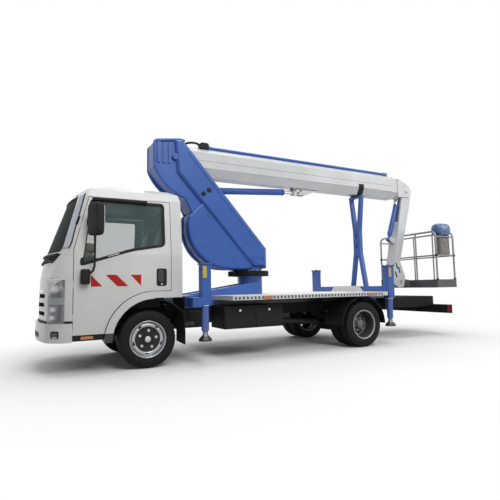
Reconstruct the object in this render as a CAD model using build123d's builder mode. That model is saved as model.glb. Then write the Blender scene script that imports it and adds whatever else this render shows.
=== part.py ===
from build123d import *
import math
import os

# A truck-mounted aerial platform on a small cab-over chassis, stowed for the road.
# X runs forward, Y to the left and Z up from the road; lengths are millimetres.
# The origin is on the road under the middle of the whole truck.

# Stations along the truck, measured from the front axle
FRONT_OVERHANG = 1210
WHEELBASE = 3300
TURRET_BACK = 1810
JIB_PIN_BACK = 5320
BASKET_BACK = 5350
BASKET_DEPTH = 520
FRONT_JACK_BACK = 672
REAR_JACK_BACK = 3835
REST_BACK = 4100
REAR_BAR_BACK = 5390

# Wheels
TYRE_RADIUS = 345
TYRE_WIDTH = 200
TYRE_SHOULDER = 24
TREAD_SHARE = 0.86
RIM_RADIUS = 205
RIM_FLANGE = 220
RIM_WALL = 9
RIM_GAP = 0.2
FRONT_WHEEL_Y = 702
REAR_OUTER_Y = 848
TWIN_PITCH = 232
HUB_RADIUS = 85
HUB_CAP_RADIUS = 42
DISC_THICKNESS = 12
FRONT_DISC_Y = 45
SPINDLE_RADIUS = 30
RUNNING_FIT = 0.05

# Axles and steering knuckles
KINGPIN_Y = 600
KINGPIN_RADIUS = 20
KINGPIN_EYE = 44
KNUCKLE_HEIGHT = 150
KNUCKLE_ARM = 34
AXLE_BEAM_HEIGHT = 80
AXLE_BEAM_DEPTH = 70
AXLE_DROP = 30
REAR_TUBE_RADIUS = 55
HUB_INNER_GAP = 30
DIFF_RADIUS = 150
DIFF_WIDTH = 210
SPRING_WIDTH = 60
SPRING_LENGTH = 1150
SPRING_THICKNESS = 45
SPRING_SHACKLE = 135
SPRING_SEAT = 8

# Ladder frame
RAIL_TOP = 700
RAIL_HEIGHT = 160
RAIL_Y = 360
RAIL_FLANGE = 65
RAIL_WALL = 10
RAIL_FRONT = 980
CROSS_MEMBER = 70
CAB_MOUNTS = (640, -300)
CROSS_STATIONS = (880, -480, -1300, -2400, -3800, -4700, -5290)

# Working platform subframe, deck and pedestal
SUBFRAME_HEIGHT = 80
DECK_THICKNESS = 60
DECK_FRONT_BACK = 1037
DECK_HALF_WIDTH = 1000
DECK_END_GAP = 5
DECK_SHEET = 10
DECK_RIB = 20
DECK_BAYS = 5
PEDESTAL_RADIUS = 195
PEDESTAL_WALL = 25
PEDESTAL_FLANGE = 30
PEDESTAL_TOP = 1120
RING_RADIUS = 300
RING_HEIGHT = 80
RING_FIT = 0.3
SLEW_DRIVE_RADIUS = 95
BRACE_Y = 215
BRACE_WIDTH = 90
BRACE_FRONT_HEIGHT = 120
BRACE_REAR_HEIGHT = 190

# Outriggers and jacks
JACK_INSET = 40
JACK_TUBE = 120
JACK_WALL = 12
JACK_TOP = 1262
JACK_BOTTOM = 737
LEG_BOTTOM = 420
LEG_LENGTH = 760
SLIDE_FIT = 0.3
FOOT_RADIUS = 83
FOOT_BOTTOM = 293
FOOT_THICKNESS = 22
FOOT_BALL_RADIUS = 34
JACK_CAP = 18
JACK_CAP_LIP = 12
OUTRIGGER_TUBE = 120
OUTRIGGER_WALL = 12
HOUSING_WALL = 15
HOUSING_HALF = 780
OUTRIGGER_INNER_END = 20
REAR_BEAM_HEIGHT = 90
REAR_BEAM_DEPTH = 110
BEAM_COVER_SHEET = 8
BEAM_COVER_FOOT = 430
BEAM_COVER_CREST = 330

# Boom rest
REST_TOP_HALF = 165
REST_WAIST_HALF = 85
REST_FOOT_HALF = 240
REST_LEG = 62
REST_DEPTH = 70
REST_PAD = 40
REST_WAIST_SHARES = (0.4507, 0.6602)
REST_SLOT_SHARES = (0.3, 0.75)

# Turret arm
ARM_HALF_WIDTH = 180
ARM_PLATE = 16
ARM_BASE_Z = 1240
# Outline rows: distance behind the front axle, share of the rise from the arm's base to the boom pin
ARM_BACK_EDGE = (
    (1349, 0),
    (2009, 0),
    (2009, 0.1919),
    (635, 1.1776),
    (250, 1.1398),
    (221, 1.118),
    (221, 0.9006),
)
ARM_THROAT = ((221, 0.9006), (420, 0.7453), (693, 0.6248))
ARM_STEP = ((693, 0.6248), (783, 0.5), (737, 0.4795), (728, 0.3478))
ARM_BELLY = ((728, 0.3478), (960, 0.0839), (1349, 0))
ARM_SLOT = ((640, 0.6894), (2000, 0.6894), (2000, 1.2795), (260, 1.2795), (260, 0.9068))
ARM_SPINE = ((2000, 0.195), (2000, 0.012), (1770, 0.012), (560, 0.86), (520, 1.156), (635, 1.166))
BELLY_CENTRE = (1290, 0.3478)
BELLY_RADIUS = 530
BELLY_PROUD = 14
SPINE_PROUD = 24
HEAD_RIBS = (290, 370, 450)
HEAD_RIB_WIDTH = 42
HEAD_RIB_SHARES = (0.935, 1.125)
BOOM_PIN_BACK = 530
BOOM_PIN_Z = 2850
BOOM_PIN_RADIUS = 45
LIFT_PIN_BACK = 1040
LIFT_PIN_SHARE = 0.7453

# Telescopic boom
BOOM_STAGES = 3
BOOM_HEIGHT = 430
BOOM_WIDTH = 300
BOOM_ABOVE_PIN = 205
BOOM_LOWER_RISE = 120
BOOM_LOWER_STEP = 62
BOOM_UPPER_RISE = 62
BOOM_UPPER_STEP = 40
BOOM_WALL = 10
BOOM_GAP = 12
BOOM_ROOT_AHEAD = 150
BOOM_MOUTH_BACK = 4960
BOOM_STAGE_STEP = 60
BOOM_TAIL_STEP = 320
COLLAR_LENGTH = 60
DUCT_RADIUS = 28
DUCT_Y = 95
DUCT_FRONT_BACK = 1000
DUCT_REAR_BACK = 4800
SADDLE_LENGTH = 110
SADDLE_THICKNESS = 14
SADDLE_CHEEK = 190
REST_GAP = 0.3

# Boom lift cylinder
ROD_PIN_BACK = 2745
ROD_PIN_CLEARANCE = 12
LIFT_BARREL_RADIUS = 52
LIFT_BARREL_LENGTH = 1370
LIFT_ROD_RADIUS = 32
EYE_RADIUS = 48
BARREL_START = 72
ROD_START = 144
EYE_WIDTH = 70
EYE_BORE = 25
BRACKET_PLATE = 18
BRACKET_HALF = 60
BRACKET_LENGTH = 430

# Jib, levelling drum and jib cylinder
JIB_PIN_DROP = 255
JIB_HEAD_RADIUS = 120
JIB_HALF_WIDTH = 100
JIB_PLATE = 12
JIB_FOOT_X_BACK = 5060
JIB_FOOT_Z = 1010
# Foot outline rows: distance ahead of the foot pin, height above it
JIB_FOOT_ROWS = ((210, 110), (180, -60), (60, -120), (-70, -110), (-120, 90), (-5, 380))
FOOT_SLOTS = ((95, 300), (30, 215), (120, 130))
JIB_PIN_RADIUS = 30
HEAD_PLATE = 16
HEAD_FLANGE = 20
HEAD_CLEARANCE = 6
DRUM_RADIUS = 52
JIB_FOOT_OPEN = 190
JIB_BRACKET_REACH = 130
JIB_EYE_AHEAD = 130
JIB_EYE_DROP = 120
JIB_BASE_BACK = 4885
JIB_BASE_SHARE = 0.458
JIB_SLOT_HALF = 62
JIB_SLOT_BACK = 60
JIB_SLOT_RISE = 80
FOOT_SLOT_LENGTH = 130
FOOT_SLOT_WIDTH = 34
FOOT_SLOT_LEAN = 72
JIB_BARREL_RADIUS = 40
JIB_BARREL_LENGTH = 500
JIB_ROD_RADIUS = 24
JIB_EYE_RADIUS = 36
JIB_BARREL_START = 80
JIB_BORE_START = 100
JIB_ROD_START = 108
JIB_EYE_BORE = 18
JIB_EYE_WIDTH = 50

# Work basket
BASKET_HALF_WIDTH = 700
BASKET_DROP = 130
BASKET_HEIGHT = 1065
TOE_HEIGHT = 150
TOE_WALL = 18
FLOOR_THICKNESS = 24
TUBE_RADIUS = 17
POST_RADIUS = 14
QUARTER = 90
HOOP_CORNER = 95
MID_RAIL_SHARE = 0.5634
POST_Y = 230
CARRIER_HALF = 62
CARRIER_HEIGHT = 110
CONTROL_WIDTH = 330
CONTROL_DEPTH = 230
CONTROL_SHARE = 0.31
HOOD_HEIGHT = 210
HOOD_LIP = 25
HOOD_CORNER = 90

# Cab shell, from plan sections: height, rear, half width, end of the straight side,
# corner back and side, nose
CAB_SECTIONS = (
    (440, -415, 850, 850, 1090, 660, 1165),
    (800, -415, 850, 850, 1105, 665, 1183),
    (1100, -415, 850, 840, 1085, 670, 1168),
    (1366, -415, 848, 780, 988, 695, 1125),
    (2060, -412, 775, 660, 785, 655, 886),
    (2150, -390, 730, 600, 720, 600, 815),
    (2215, -290, 590, 420, 530, 470, 600),
)
CAB_WALL = 45
CAB_ROOF_SEAM = 2092
CAB_BACK_SEAM = -332
CAB_SCREEN_SEAM = 1372
CAB_REAR_BOTTOM = 841
CAB_NOSE_BOTTOM = 590
FLOOR_Z = 850
FLOOR_SHEET = 40
PANEL_GAP = 6
ARCH_BACK = 60
ARCH_RADIUS = 487
FLARE_RADIUS = 575
FLARE_PROUD = 18
DOOR_FRONT = 846
DOOR_REAR = -268
DOOR_BOTTOM = 446
DOOR_TOP = 2036
DOOR_BELT = 1410
DOOR_TOP_FRONT = 690
DOOR_ARCH_MIDDLE = 50
# Window corners: distance ahead of the front axle, height
WINDOW_CORNERS = ((762, 1248), (210, 1425), (-175, 1490), (-175, 1995), (655, 1995))
WINDOW_RADIUS = 30
HINGE_FIT = 0.1
HINGE_LENGTH = 70
HINGE_HEIGHTS = (650, 1020)
GLASS = 6
GLASS_INSET = 12
SCREEN_BOTTOM = 1390
SCREEN_TOP = 2062
SCREEN_HALF_BOTTOM = 730
SCREEN_HALF_TOP = 640
SCREEN_RADIUS = 60
REAR_GLASS_HALF = 480
REAR_GLASS_BOTTOM = 1420
REAR_GLASS_TOP = 1930
LAMP_MARGIN = 83
LAMP_LENGTH = 165
LAMP_INNER_Y = 590
LAMP_BOTTOM = 598
LAMP_SHOULDER = 880
LAMP_TOP = 1072
LAMP_PROUD = 6
LAMP_DEPTH = 30
GRILLE_HALF = 560
GRILLE_SLOT = 46
GRILLE_ROWS = (690, 790, 890)
BUMPER_BOTTOM = 375
BUMPER_TOP = 584
BUMPER_PROUD = 30
BUMPER_WALL = 60

# Cab inside
SEAT_Y = 430
SEAT_WIDTH = 480
# Seat and dashboard outlines: distance ahead of the front axle, height above the floor sheet
SEAT_ROWS = ((300, 0), (300, 340), (-150, 300), (-270, 940), (-350, 940), (-250, 0))
DASH_ROWS = ((880, 70), (720, 190), (690, 370), (760, 440), (890, 410))
CUSHION_RADIUS = 20
CONSOLE_REAR = 720
CONSOLE_FRONT = 880
CONSOLE_HEIGHT = 310
COLUMN_LENGTH = 260
DASH_HALF = 640
CONSOLE_HALF = 160
WHEEL_RADIUS = 205
WHEEL_TUBE = 15
STEERING_X = 560
STEERING_Z = 1290

# Mirrors
MIRROR_BACK = 640
MIRROR_Y = 1010
MIRROR_BOTTOM = 1560
MIRROR_HEIGHT = 360
MIRROR_WIDTH = 190
MIRROR_DEPTH = 80
STAY_RADIUS = 12
STAY_FOOT_Z = 1140

# Under-deck pieces
ENGINE_LENGTH = 900
ENGINE_AHEAD = 150
ENGINE_WIDTH = 440
ENGINE_TOP = 830
ENGINE_BOTTOM = 400
SHAFT_RADIUS = 45
SIDE_BOX_FRONT_BACK = 1000
SIDE_BOX_LENGTH = 900
SIDE_BOX_BOTTOM = 400
SIDE_BOX_Y = 400
SIDE_BOX_WIDTH = 420
SIDE_BOX_WALL = 15
GUARD_SHEET = 12
GUARD_STAY = 40
LINER_INNER_Y = 420
FLAP_BACK = 440
FLAP_HEIGHT = 420
SILL_HEIGHT = 55
SILL_STAY = 700
REAR_BAR_HALF = 930
REAR_BAR_HEIGHT = 150
REAR_BAR_DEPTH = 60
REAR_BAR_BOTTOM = 425
TRAY_HALF = 540
TRAY_SHEET = 25

# Places in the truck's own frame
CAB_FRONT_SEAM = DOOR_FRONT + PANEL_GAP
LENGTH = FRONT_OVERHANG + BASKET_BACK + BASKET_DEPTH
FRONT_X = LENGTH / 2 - FRONT_OVERHANG
REAR_X = FRONT_X - WHEELBASE
TURRET_X = FRONT_X - TURRET_BACK
AXLE_Z = TYRE_RADIUS
RAIL_BOTTOM = RAIL_TOP - RAIL_HEIGHT
SPRING_Y = RAIL_Y - RAIL_FLANGE / 2
DECK_BOTTOM = RAIL_TOP + SUBFRAME_HEIGHT
DECK_TOP = DECK_BOTTOM + DECK_THICKNESS
RING_TOP = PEDESTAL_TOP + RING_HEIGHT
JACK_Y = DECK_HALF_WIDTH - JACK_INSET
LAMP_BACK = CAB_FRONT_SEAM + LAMP_MARGIN
LAMP_NOSE = LAMP_BACK + LAMP_LENGTH
ARM_RISE = BOOM_PIN_Z - ARM_BASE_Z
BOOM_TOP_Z = BOOM_PIN_Z + BOOM_ABOVE_PIN
BOOM_BOTTOM_Z = BOOM_TOP_Z - BOOM_HEIGHT
LIFT_PIN_Z = ARM_BASE_Z + LIFT_PIN_SHARE * ARM_RISE
ROD_PIN_Z = BOOM_BOTTOM_Z - EYE_RADIUS - ROD_PIN_CLEARANCE
JIB_PIN_Z = BOOM_TOP_Z - JIB_PIN_DROP
JIB_EYE_BACK = JIB_PIN_BACK - JIB_EYE_AHEAD
JIB_EYE_Z = JIB_PIN_Z - JIB_EYE_DROP
JIB_BASE_Z = JIB_FOOT_Z + JIB_BASE_SHARE * (JIB_PIN_Z - JIB_FOOT_Z)
BASKET_BOTTOM = JIB_FOOT_Z - BASKET_DROP
BASKET_TOP = BASKET_BOTTOM + BASKET_HEIGHT
MID_RAIL_Z = BASKET_BOTTOM + MID_RAIL_SHARE * BASKET_HEIGHT
CONTROL_HEIGHT = CONTROL_SHARE * BASKET_HEIGHT
SIDES = (("left", 1), ("right", -1))

os.makedirs("parts", exist_ok=True)


def save(builder, name):
    """Labels a finished piece and writes it to a file of its own."""
    builder.part.label = name
    export_step(builder.part, f"parts/{name}.step")


def station(ahead):
    """A place along the truck, given as its distance ahead of the front axle."""
    return FRONT_X + ahead


def side_plane(y):
    """A plane seen from the truck's right, through the given distance to the left."""
    return Plane.XZ.offset(-y)


def box_between(x, y, z, mode=Mode.ADD):
    """A box from pairs of limits along the three axes."""
    with Locations(((x[0] + x[1]) / 2, (y[0] + y[1]) / 2, (z[0] + z[1]) / 2)):
        Box(abs(x[1] - x[0]), abs(y[1] - y[0]), abs(z[1] - z[0]), mode=mode)


# Cab shell forms


def cab_form(inset):
    """The cab's closed outer form, drawn in by a distance on every side but the bottom."""
    with BuildPart() as form:
        for height, rear, half, side_end, corner, corner_y, nose in CAB_SECTIONS:
            level = height - inset if height > CAB_ROOF_SEAM else height
            if height == CAB_SECTIONS[0][0]:
                level = height - max(inset, 0)
            w = half - inset
            back = station(rear + inset)
            straight = station(side_end)
            bend = station(corner - inset)
            bend_y = corner_y - inset / 2
            with BuildSketch(Plane.XY.offset(level)):
                with BuildLine():
                    Polyline((straight, w), (back, w), (back, -w), (straight, -w))
                    TangentArc((straight, w), (bend, bend_y), tangent=(1, 0))
                    ThreePointArc((bend, bend_y), (station(nose - inset), 0), (bend, -bend_y))
                    TangentArc((straight, -w), (bend, -bend_y), tangent=(1, 0))
                make_face()
        loft(ruled=True)
    return form.part


def door_outline():
    """The door's edge seen from the side, over the wheel arch's flare."""
    arch_x = station(-ARCH_BACK)
    sweep_radius = FLARE_RADIUS + PANEL_GAP
    foot = math.sqrt(sweep_radius**2 - (DOOR_BOTTOM - AXLE_Z) ** 2)
    half_way = math.radians(DOOR_ARCH_MIDDLE)
    arch_middle = (
        arch_x + sweep_radius * math.cos(half_way),
        AXLE_Z + sweep_radius * math.sin(half_way),
    )
    Polyline(
        (arch_x + foot, DOOR_BOTTOM),
        (station(DOOR_FRONT), DOOR_BOTTOM),
        (station(DOOR_FRONT), DOOR_BELT),
        (station(DOOR_TOP_FRONT), DOOR_TOP),
        (station(DOOR_REAR), DOOR_TOP),
        (station(DOOR_REAR), AXLE_Z + sweep_radius),
        (arch_x, AXLE_Z + sweep_radius),
    )
    ThreePointArc((arch_x, AXLE_Z + sweep_radius), arch_middle, (arch_x + foot, DOOR_BOTTOM))


def window_outline():
    """The side window, whose sill drops towards the front."""
    FilletPolyline(
        *[(station(ahead), height) for ahead, height in WINDOW_CORNERS],
        radius=WINDOW_RADIUS,
        close=True,
    )


cab_outer = cab_form(0)
cab_inner = cab_form(CAB_WALL)
glass_outer = cab_form(GLASS_INSET)
glass_inner = cab_form(GLASS_INSET + GLASS)
lamp_outer = cab_form(-LAMP_PROUD)
lamp_inner = cab_form(LAMP_DEPTH)
REACH = 2 * DECK_HALF_WIDTH

with BuildPart() as door_cutter:
    with BuildSketch(Plane.XZ):
        with BuildLine():
            door_outline()
        make_face()
    extrude(amount=REACH, both=True)

with BuildPart() as door_opening:
    with BuildSketch(Plane.XZ):
        with BuildLine():
            door_outline()
        make_face()
        offset(amount=PANEL_GAP, kind=Kind.INTERSECTION)
    extrude(amount=REACH, both=True)

with BuildPart() as window_cutter:
    with BuildSketch(Plane.XZ):
        with BuildLine():
            window_outline()
        make_face()
    extrude(amount=REACH, both=True)

with BuildPart() as arch_cutter:
    with BuildSketch(Plane.XZ):
        with Locations((station(-ARCH_BACK), AXLE_Z)):
            Circle(ARCH_RADIUS)
            Rectangle(ARCH_RADIUS * 2, CAB_REAR_BOTTOM - AXLE_Z, align=(Align.MAX, Align.MIN))
        with Locations((station(-ARCH_BACK), AXLE_Z)):
            Rectangle(ARCH_RADIUS * 2, AXLE_Z, align=(Align.MAX, Align.MAX))
    extrude(amount=REACH, both=True)

with BuildPart() as screen_cutter:
    with BuildSketch(Plane.YZ.offset(station(0))):
        with BuildLine():
            FilletPolyline(
                (-SCREEN_HALF_BOTTOM, SCREEN_BOTTOM),
                (SCREEN_HALF_BOTTOM, SCREEN_BOTTOM),
                (SCREEN_HALF_TOP, SCREEN_TOP),
                (-SCREEN_HALF_TOP, SCREEN_TOP),
                radius=SCREEN_RADIUS,
                close=True,
            )
        make_face()
    extrude(amount=REACH)

with BuildPart() as rear_glass_cutter:
    with BuildSketch(Plane.YZ.offset(station(0))):
        with Locations((0, (REAR_GLASS_BOTTOM + REAR_GLASS_TOP) / 2)):
            RectangleRounded(2 * REAR_GLASS_HALF, REAR_GLASS_TOP - REAR_GLASS_BOTTOM, SCREEN_RADIUS)
    extrude(amount=-REACH)

with BuildPart() as lamp_cutter:
    with BuildSketch(Plane.XZ):
        with BuildLine():
            Polyline(
                (station(LAMP_NOSE), LAMP_TOP),
                (station(LAMP_NOSE), LAMP_BOTTOM),
                (station(LAMP_BACK), LAMP_BOTTOM),
                (station(LAMP_BACK), LAMP_SHOULDER),
            )
            TangentArc(
                (station(LAMP_BACK), LAMP_SHOULDER),
                (station(LAMP_NOSE), LAMP_TOP),
                tangent=(0, 1),
            )
        make_face()
    extrude(amount=REACH, both=True)
    box_between(
        (station(0), station(REACH)),
        (-LAMP_INNER_Y, LAMP_INNER_Y),
        (LAMP_BOTTOM, LAMP_TOP),
        mode=Mode.SUBTRACT,
    )

with BuildPart() as cab_shell:
    add(cab_outer)
    add(cab_inner, mode=Mode.SUBTRACT)
    add(door_opening.part, mode=Mode.SUBTRACT)
    add(arch_cutter.part, mode=Mode.SUBTRACT)
    add(screen_cutter.part, mode=Mode.SUBTRACT)
    add(rear_glass_cutter.part, mode=Mode.SUBTRACT)
    with BuildSketch(Plane.XZ):
        with Locations((station(CAB_FRONT_SEAM), CAB_NOSE_BOTTOM)):
            Rectangle(REACH, REACH, align=(Align.MIN, Align.MAX))
    extrude(amount=REACH, both=True, mode=Mode.SUBTRACT)

# Cab panels, parted where the real ones meet

with BuildPart() as cab_roof:
    add(cab_shell.part)
    split(bisect_by=Plane.XY.offset(CAB_ROOF_SEAM), keep=Keep.TOP)
save(cab_roof, "cab_roof")

with BuildPart() as cab_back:
    add(cab_shell.part)
    split(bisect_by=Plane.XY.offset(CAB_ROOF_SEAM), keep=Keep.BOTTOM)
    split(bisect_by=Plane.YZ.offset(station(CAB_BACK_SEAM)), keep=Keep.BOTTOM)
save(cab_back, "cab_back")

with BuildPart() as cab_front:
    add(cab_shell.part)
    split(bisect_by=Plane.YZ.offset(station(CAB_FRONT_SEAM)), keep=Keep.TOP)
    split(bisect_by=Plane.XY.offset(CAB_SCREEN_SEAM), keep=Keep.BOTTOM)
    add(lamp_cutter.part, mode=Mode.SUBTRACT)
    with BuildSketch(Plane.YZ.offset(station(CAB_FRONT_SEAM))):
        for row in GRILLE_ROWS:
            with Locations((0, row)):
                SlotOverall(2 * GRILLE_HALF, GRILLE_SLOT)
    extrude(amount=REACH, mode=Mode.SUBTRACT)
    for _, side in SIDES:
        hinge_x = station(DOOR_FRONT + PANEL_GAP / 2)
        hinge_y = side * (CAB_SECTIONS[0][2] - PANEL_GAP / 2)
        pin_radius = PANEL_GAP / 2 - HINGE_FIT
        for height in HINGE_HEIGHTS:
            with Locations((hinge_x, hinge_y, height)):
                Cylinder(pin_radius, HINGE_LENGTH)
                Box(PANEL_GAP, 2 * pin_radius, HINGE_LENGTH, align=(Align.MIN, Align.CENTER, Align.CENTER))
save(cab_front, "cab_front")

with BuildPart() as cab_sides:
    add(cab_shell.part)
    split(bisect_by=Plane.XY.offset(CAB_ROOF_SEAM), keep=Keep.BOTTOM)
    split(bisect_by=Plane.YZ.offset(station(CAB_BACK_SEAM)), keep=Keep.TOP)
    with BuildSketch(Plane.XZ):
        with Locations((station(CAB_FRONT_SEAM), CAB_SCREEN_SEAM)):
            Rectangle(REACH, REACH, align=(Align.MIN, Align.MAX))
    extrude(amount=REACH, both=True, mode=Mode.SUBTRACT)
    for _, side in SIDES:
        face_y = side * (CAB_SECTIONS[0][2] - FLARE_PROUD)
        with BuildSketch(side_plane(face_y)):
            with Locations((station(-ARCH_BACK), AXLE_Z)):
                Circle(FLARE_RADIUS)
                Circle(ARCH_RADIUS, mode=Mode.SUBTRACT)
                Rectangle(REACH, REACH, align=(Align.MAX, Align.CENTER), mode=Mode.SUBTRACT)
                Rectangle(REACH, REACH, align=(Align.CENTER, Align.MAX), mode=Mode.SUBTRACT)
            with Locations((station(-ARCH_BACK), CAB_REAR_BOTTOM)):
                Rectangle(
                    -ARCH_BACK - CAB_BACK_SEAM,
                    AXLE_Z + FLARE_RADIUS - CAB_REAR_BOTTOM,
                    align=(Align.MAX, Align.MIN),
                )
        extrude(amount=-side * 2 * FLARE_PROUD)
save(cab_sides, "cab_sides")

with BuildPart() as cab_floor:
    add(cab_inner)
    split(bisect_by=Plane.XY.offset(FLOOR_Z + FLOOR_SHEET), keep=Keep.BOTTOM)
    split(bisect_by=Plane.XY.offset(FLOOR_Z), keep=Keep.TOP)
    floor_edge = CAB_SECTIONS[0][2] - CAB_WALL - PANEL_GAP
    for _, side in SIDES:
        box_between(
            (station(DOOR_REAR - PANEL_GAP), station(CAB_FRONT_SEAM)),
            (side * floor_edge, side * REACH),
            (FLOOR_Z, FLOOR_Z + FLOOR_SHEET),
            mode=Mode.SUBTRACT,
        )
save(cab_floor, "cab_floor")

with BuildPart() as glass_layer:
    add(glass_outer)
    add(glass_inner, mode=Mode.SUBTRACT)

with BuildPart() as screen_glass:
    add(glass_layer.part)
    add(screen_cutter.part, mode=Mode.INTERSECT)

with BuildPart() as rear_glass:
    add(glass_layer.part)
    add(rear_glass_cutter.part, mode=Mode.INTERSECT)

with BuildPart() as cab_glass:
    add(screen_glass.part)
    add(rear_glass.part)
save(cab_glass, "cab_glass")

with BuildPart() as headlamps:
    add(lamp_outer)
    add(lamp_inner, mode=Mode.SUBTRACT)
    add(lamp_cutter.part, mode=Mode.INTERSECT)
save(headlamps, "headlamps")

with BuildPart() as bumper:
    _, _, bumper_half, bumper_side, bumper_corner, bumper_corner_y, bumper_nose = CAB_SECTIONS[0]
    with BuildSketch(Plane.XY.offset(BUMPER_BOTTOM)):
        for inset, mode in ((0, Mode.ADD), (BUMPER_WALL, Mode.SUBTRACT)):
            w = bumper_half + BUMPER_PROUD / 2 - inset
            start = station(CAB_FRONT_SEAM)
            bend = station(bumper_corner + BUMPER_PROUD - inset)
            bend_y = bumper_corner_y + BUMPER_PROUD / 2 - inset / 2
            with BuildLine():
                Line((start, -w), (start, w))
                TangentArc((start, w), (bend, bend_y), tangent=(1, 0))
                ThreePointArc((bend, bend_y), (station(FRONT_OVERHANG - inset), 0), (bend, -bend_y))
                TangentArc((start, -w), (bend, -bend_y), tangent=(1, 0))
            make_face(mode=mode)
    extrude(amount=BUMPER_TOP - BUMPER_BOTTOM)
    for _, side in SIDES:
        box_between(
            (station(RAIL_FRONT), station(FRONT_OVERHANG - BUMPER_WALL)),
            (side * (RAIL_Y - RAIL_FLANGE), side * RAIL_Y),
            (RAIL_BOTTOM, BUMPER_TOP - BUMPER_PROUD / 2),
        )
save(bumper, "bumper")

# Doors with their glass and mirrors

for name, side in SIDES:
    with BuildPart() as door:
        add(cab_outer)
        add(cab_inner, mode=Mode.SUBTRACT)
        add(door_cutter.part, mode=Mode.INTERSECT)
        add(window_cutter.part, mode=Mode.SUBTRACT)
        split(bisect_by=Plane.XZ, keep=Keep.BOTTOM if side > 0 else Keep.TOP)
    save(door, f"door_{name}")

    with BuildPart() as door_glass:
        add(glass_layer.part)
        add(window_cutter.part, mode=Mode.INTERSECT)
        split(bisect_by=Plane.XZ, keep=Keep.BOTTOM if side > 0 else Keep.TOP)
    save(door_glass, f"door_glass_{name}")

    with BuildPart() as mirror:
        x = station(MIRROR_BACK)
        y = side * MIRROR_Y
        with BuildSketch(Plane((x, y, MIRROR_BOTTOM))):
            RectangleRounded(MIRROR_DEPTH, MIRROR_WIDTH, MIRROR_DEPTH / 3)
        extrude(amount=MIRROR_HEIGHT)
        with BuildLine() as stay:
            Polyline(
                (x, side * CAB_SECTIONS[0][2], STAY_FOOT_Z),
                (x, y - side * MIRROR_WIDTH / 4, STAY_FOOT_Z),
                (x, y - side * MIRROR_WIDTH / 4, MIRROR_BOTTOM + MIRROR_HEIGHT / 2),
            )
        with BuildSketch(Plane(stay.line @ 0, z_dir=stay.line % 0)):
            Circle(STAY_RADIUS)
        sweep(path=stay.line, transition=Transition.RIGHT)
    save(mirror, f"mirror_{name}")

# Cab inside

seat_bottom = FLOOR_Z + FLOOR_SHEET
with BuildPart() as seats:
    for _, side in SIDES:
        with BuildSketch(side_plane(side * SEAT_Y)):
            with BuildLine():
                FilletPolyline(
                    *[(station(ahead), seat_bottom + rise) for ahead, rise in SEAT_ROWS],
                    radius=CUSHION_RADIUS,
                    close=True,
                )
            make_face()
        extrude(amount=SEAT_WIDTH / 2, both=True)
save(seats, "seats")

with BuildPart() as dashboard:
    with BuildSketch(Plane.XZ):
        with BuildLine():
            FilletPolyline(
                *[(station(ahead), seat_bottom + rise) for ahead, rise in DASH_ROWS],
                radius=CUSHION_RADIUS,
                close=True,
            )
        make_face()
    extrude(amount=DASH_HALF, both=True)
    box_between(
        (station(CONSOLE_REAR), station(CONSOLE_FRONT)),
        (-CONSOLE_HALF, CONSOLE_HALF),
        (seat_bottom, seat_bottom + CONSOLE_HEIGHT),
    )
    column = Plane((station(STEERING_X), SEAT_Y, STEERING_Z), z_dir=(-1, 0, 1))
    with BuildSketch(column):
        Circle(WHEEL_RADIUS)
        Circle(WHEEL_RADIUS - 2 * WHEEL_TUBE, mode=Mode.SUBTRACT)
        Rectangle(2 * WHEEL_RADIUS - WHEEL_TUBE, 3 * WHEEL_TUBE)
    extrude(amount=WHEEL_TUBE, both=True)
    with BuildSketch(column):
        Circle(2 * WHEEL_TUBE)
    extrude(amount=-COLUMN_LENGTH)
save(dashboard, "dashboard")

# Ladder frame

rear_end = station(-REAR_BAR_BACK + REAR_BAR_DEPTH)
with BuildPart() as ladder_frame:
    for _, side in SIDES:
        with BuildSketch(Plane.YZ.offset(rear_end)):
            with Locations((side * (RAIL_Y - RAIL_FLANGE / 2), RAIL_TOP - RAIL_HEIGHT / 2)):
                Rectangle(RAIL_FLANGE, RAIL_HEIGHT)
            with Locations((side * (RAIL_Y - RAIL_FLANGE / 2 - RAIL_WALL), RAIL_TOP - RAIL_HEIGHT / 2)):
                Rectangle(RAIL_FLANGE, RAIL_HEIGHT - 2 * RAIL_WALL, mode=Mode.SUBTRACT)
        extrude(amount=station(RAIL_FRONT) - rear_end)
        for ahead in CAB_MOUNTS:
            with Locations((station(ahead), side * SPRING_Y, RAIL_TOP)):
                Cylinder(
                    CROSS_MEMBER / 2 - RAIL_WALL,
                    FLOOR_Z - RAIL_TOP,
                    align=(Align.CENTER, Align.CENTER, Align.MIN),
                )
    for ahead in CROSS_STATIONS:
        reach = RAIL_Y - RAIL_WALL
        middle = RAIL_TOP - RAIL_HEIGHT / 2
        x_limits = (station(ahead) - CROSS_MEMBER / 2, station(ahead) + CROSS_MEMBER / 2)
        box_between(x_limits, (-reach, reach), (middle - CROSS_MEMBER / 2, middle + CROSS_MEMBER / 2))
save(ladder_frame, "ladder_frame")

# Subframe, with the front outrigger housing, the pedestal and its braces, the rear beam and posts

front_jack_x = station(-FRONT_JACK_BACK)
rear_jack_x = station(-REAR_JACK_BACK)
outrigger_x = front_jack_x + JACK_TUBE / 2 + OUTRIGGER_TUBE / 2
housing_outer = OUTRIGGER_TUBE + 2 * (HOUSING_WALL + SLIDE_FIT)
housing_z = RAIL_TOP + housing_outer / 2
leg_radius = JACK_TUBE / 2 - JACK_WALL - SLIDE_FIT
deck_rear = rear_jack_x + JACK_TUBE / 2 + DECK_END_GAP
brace_front = outrigger_x - housing_outer / 2


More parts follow.
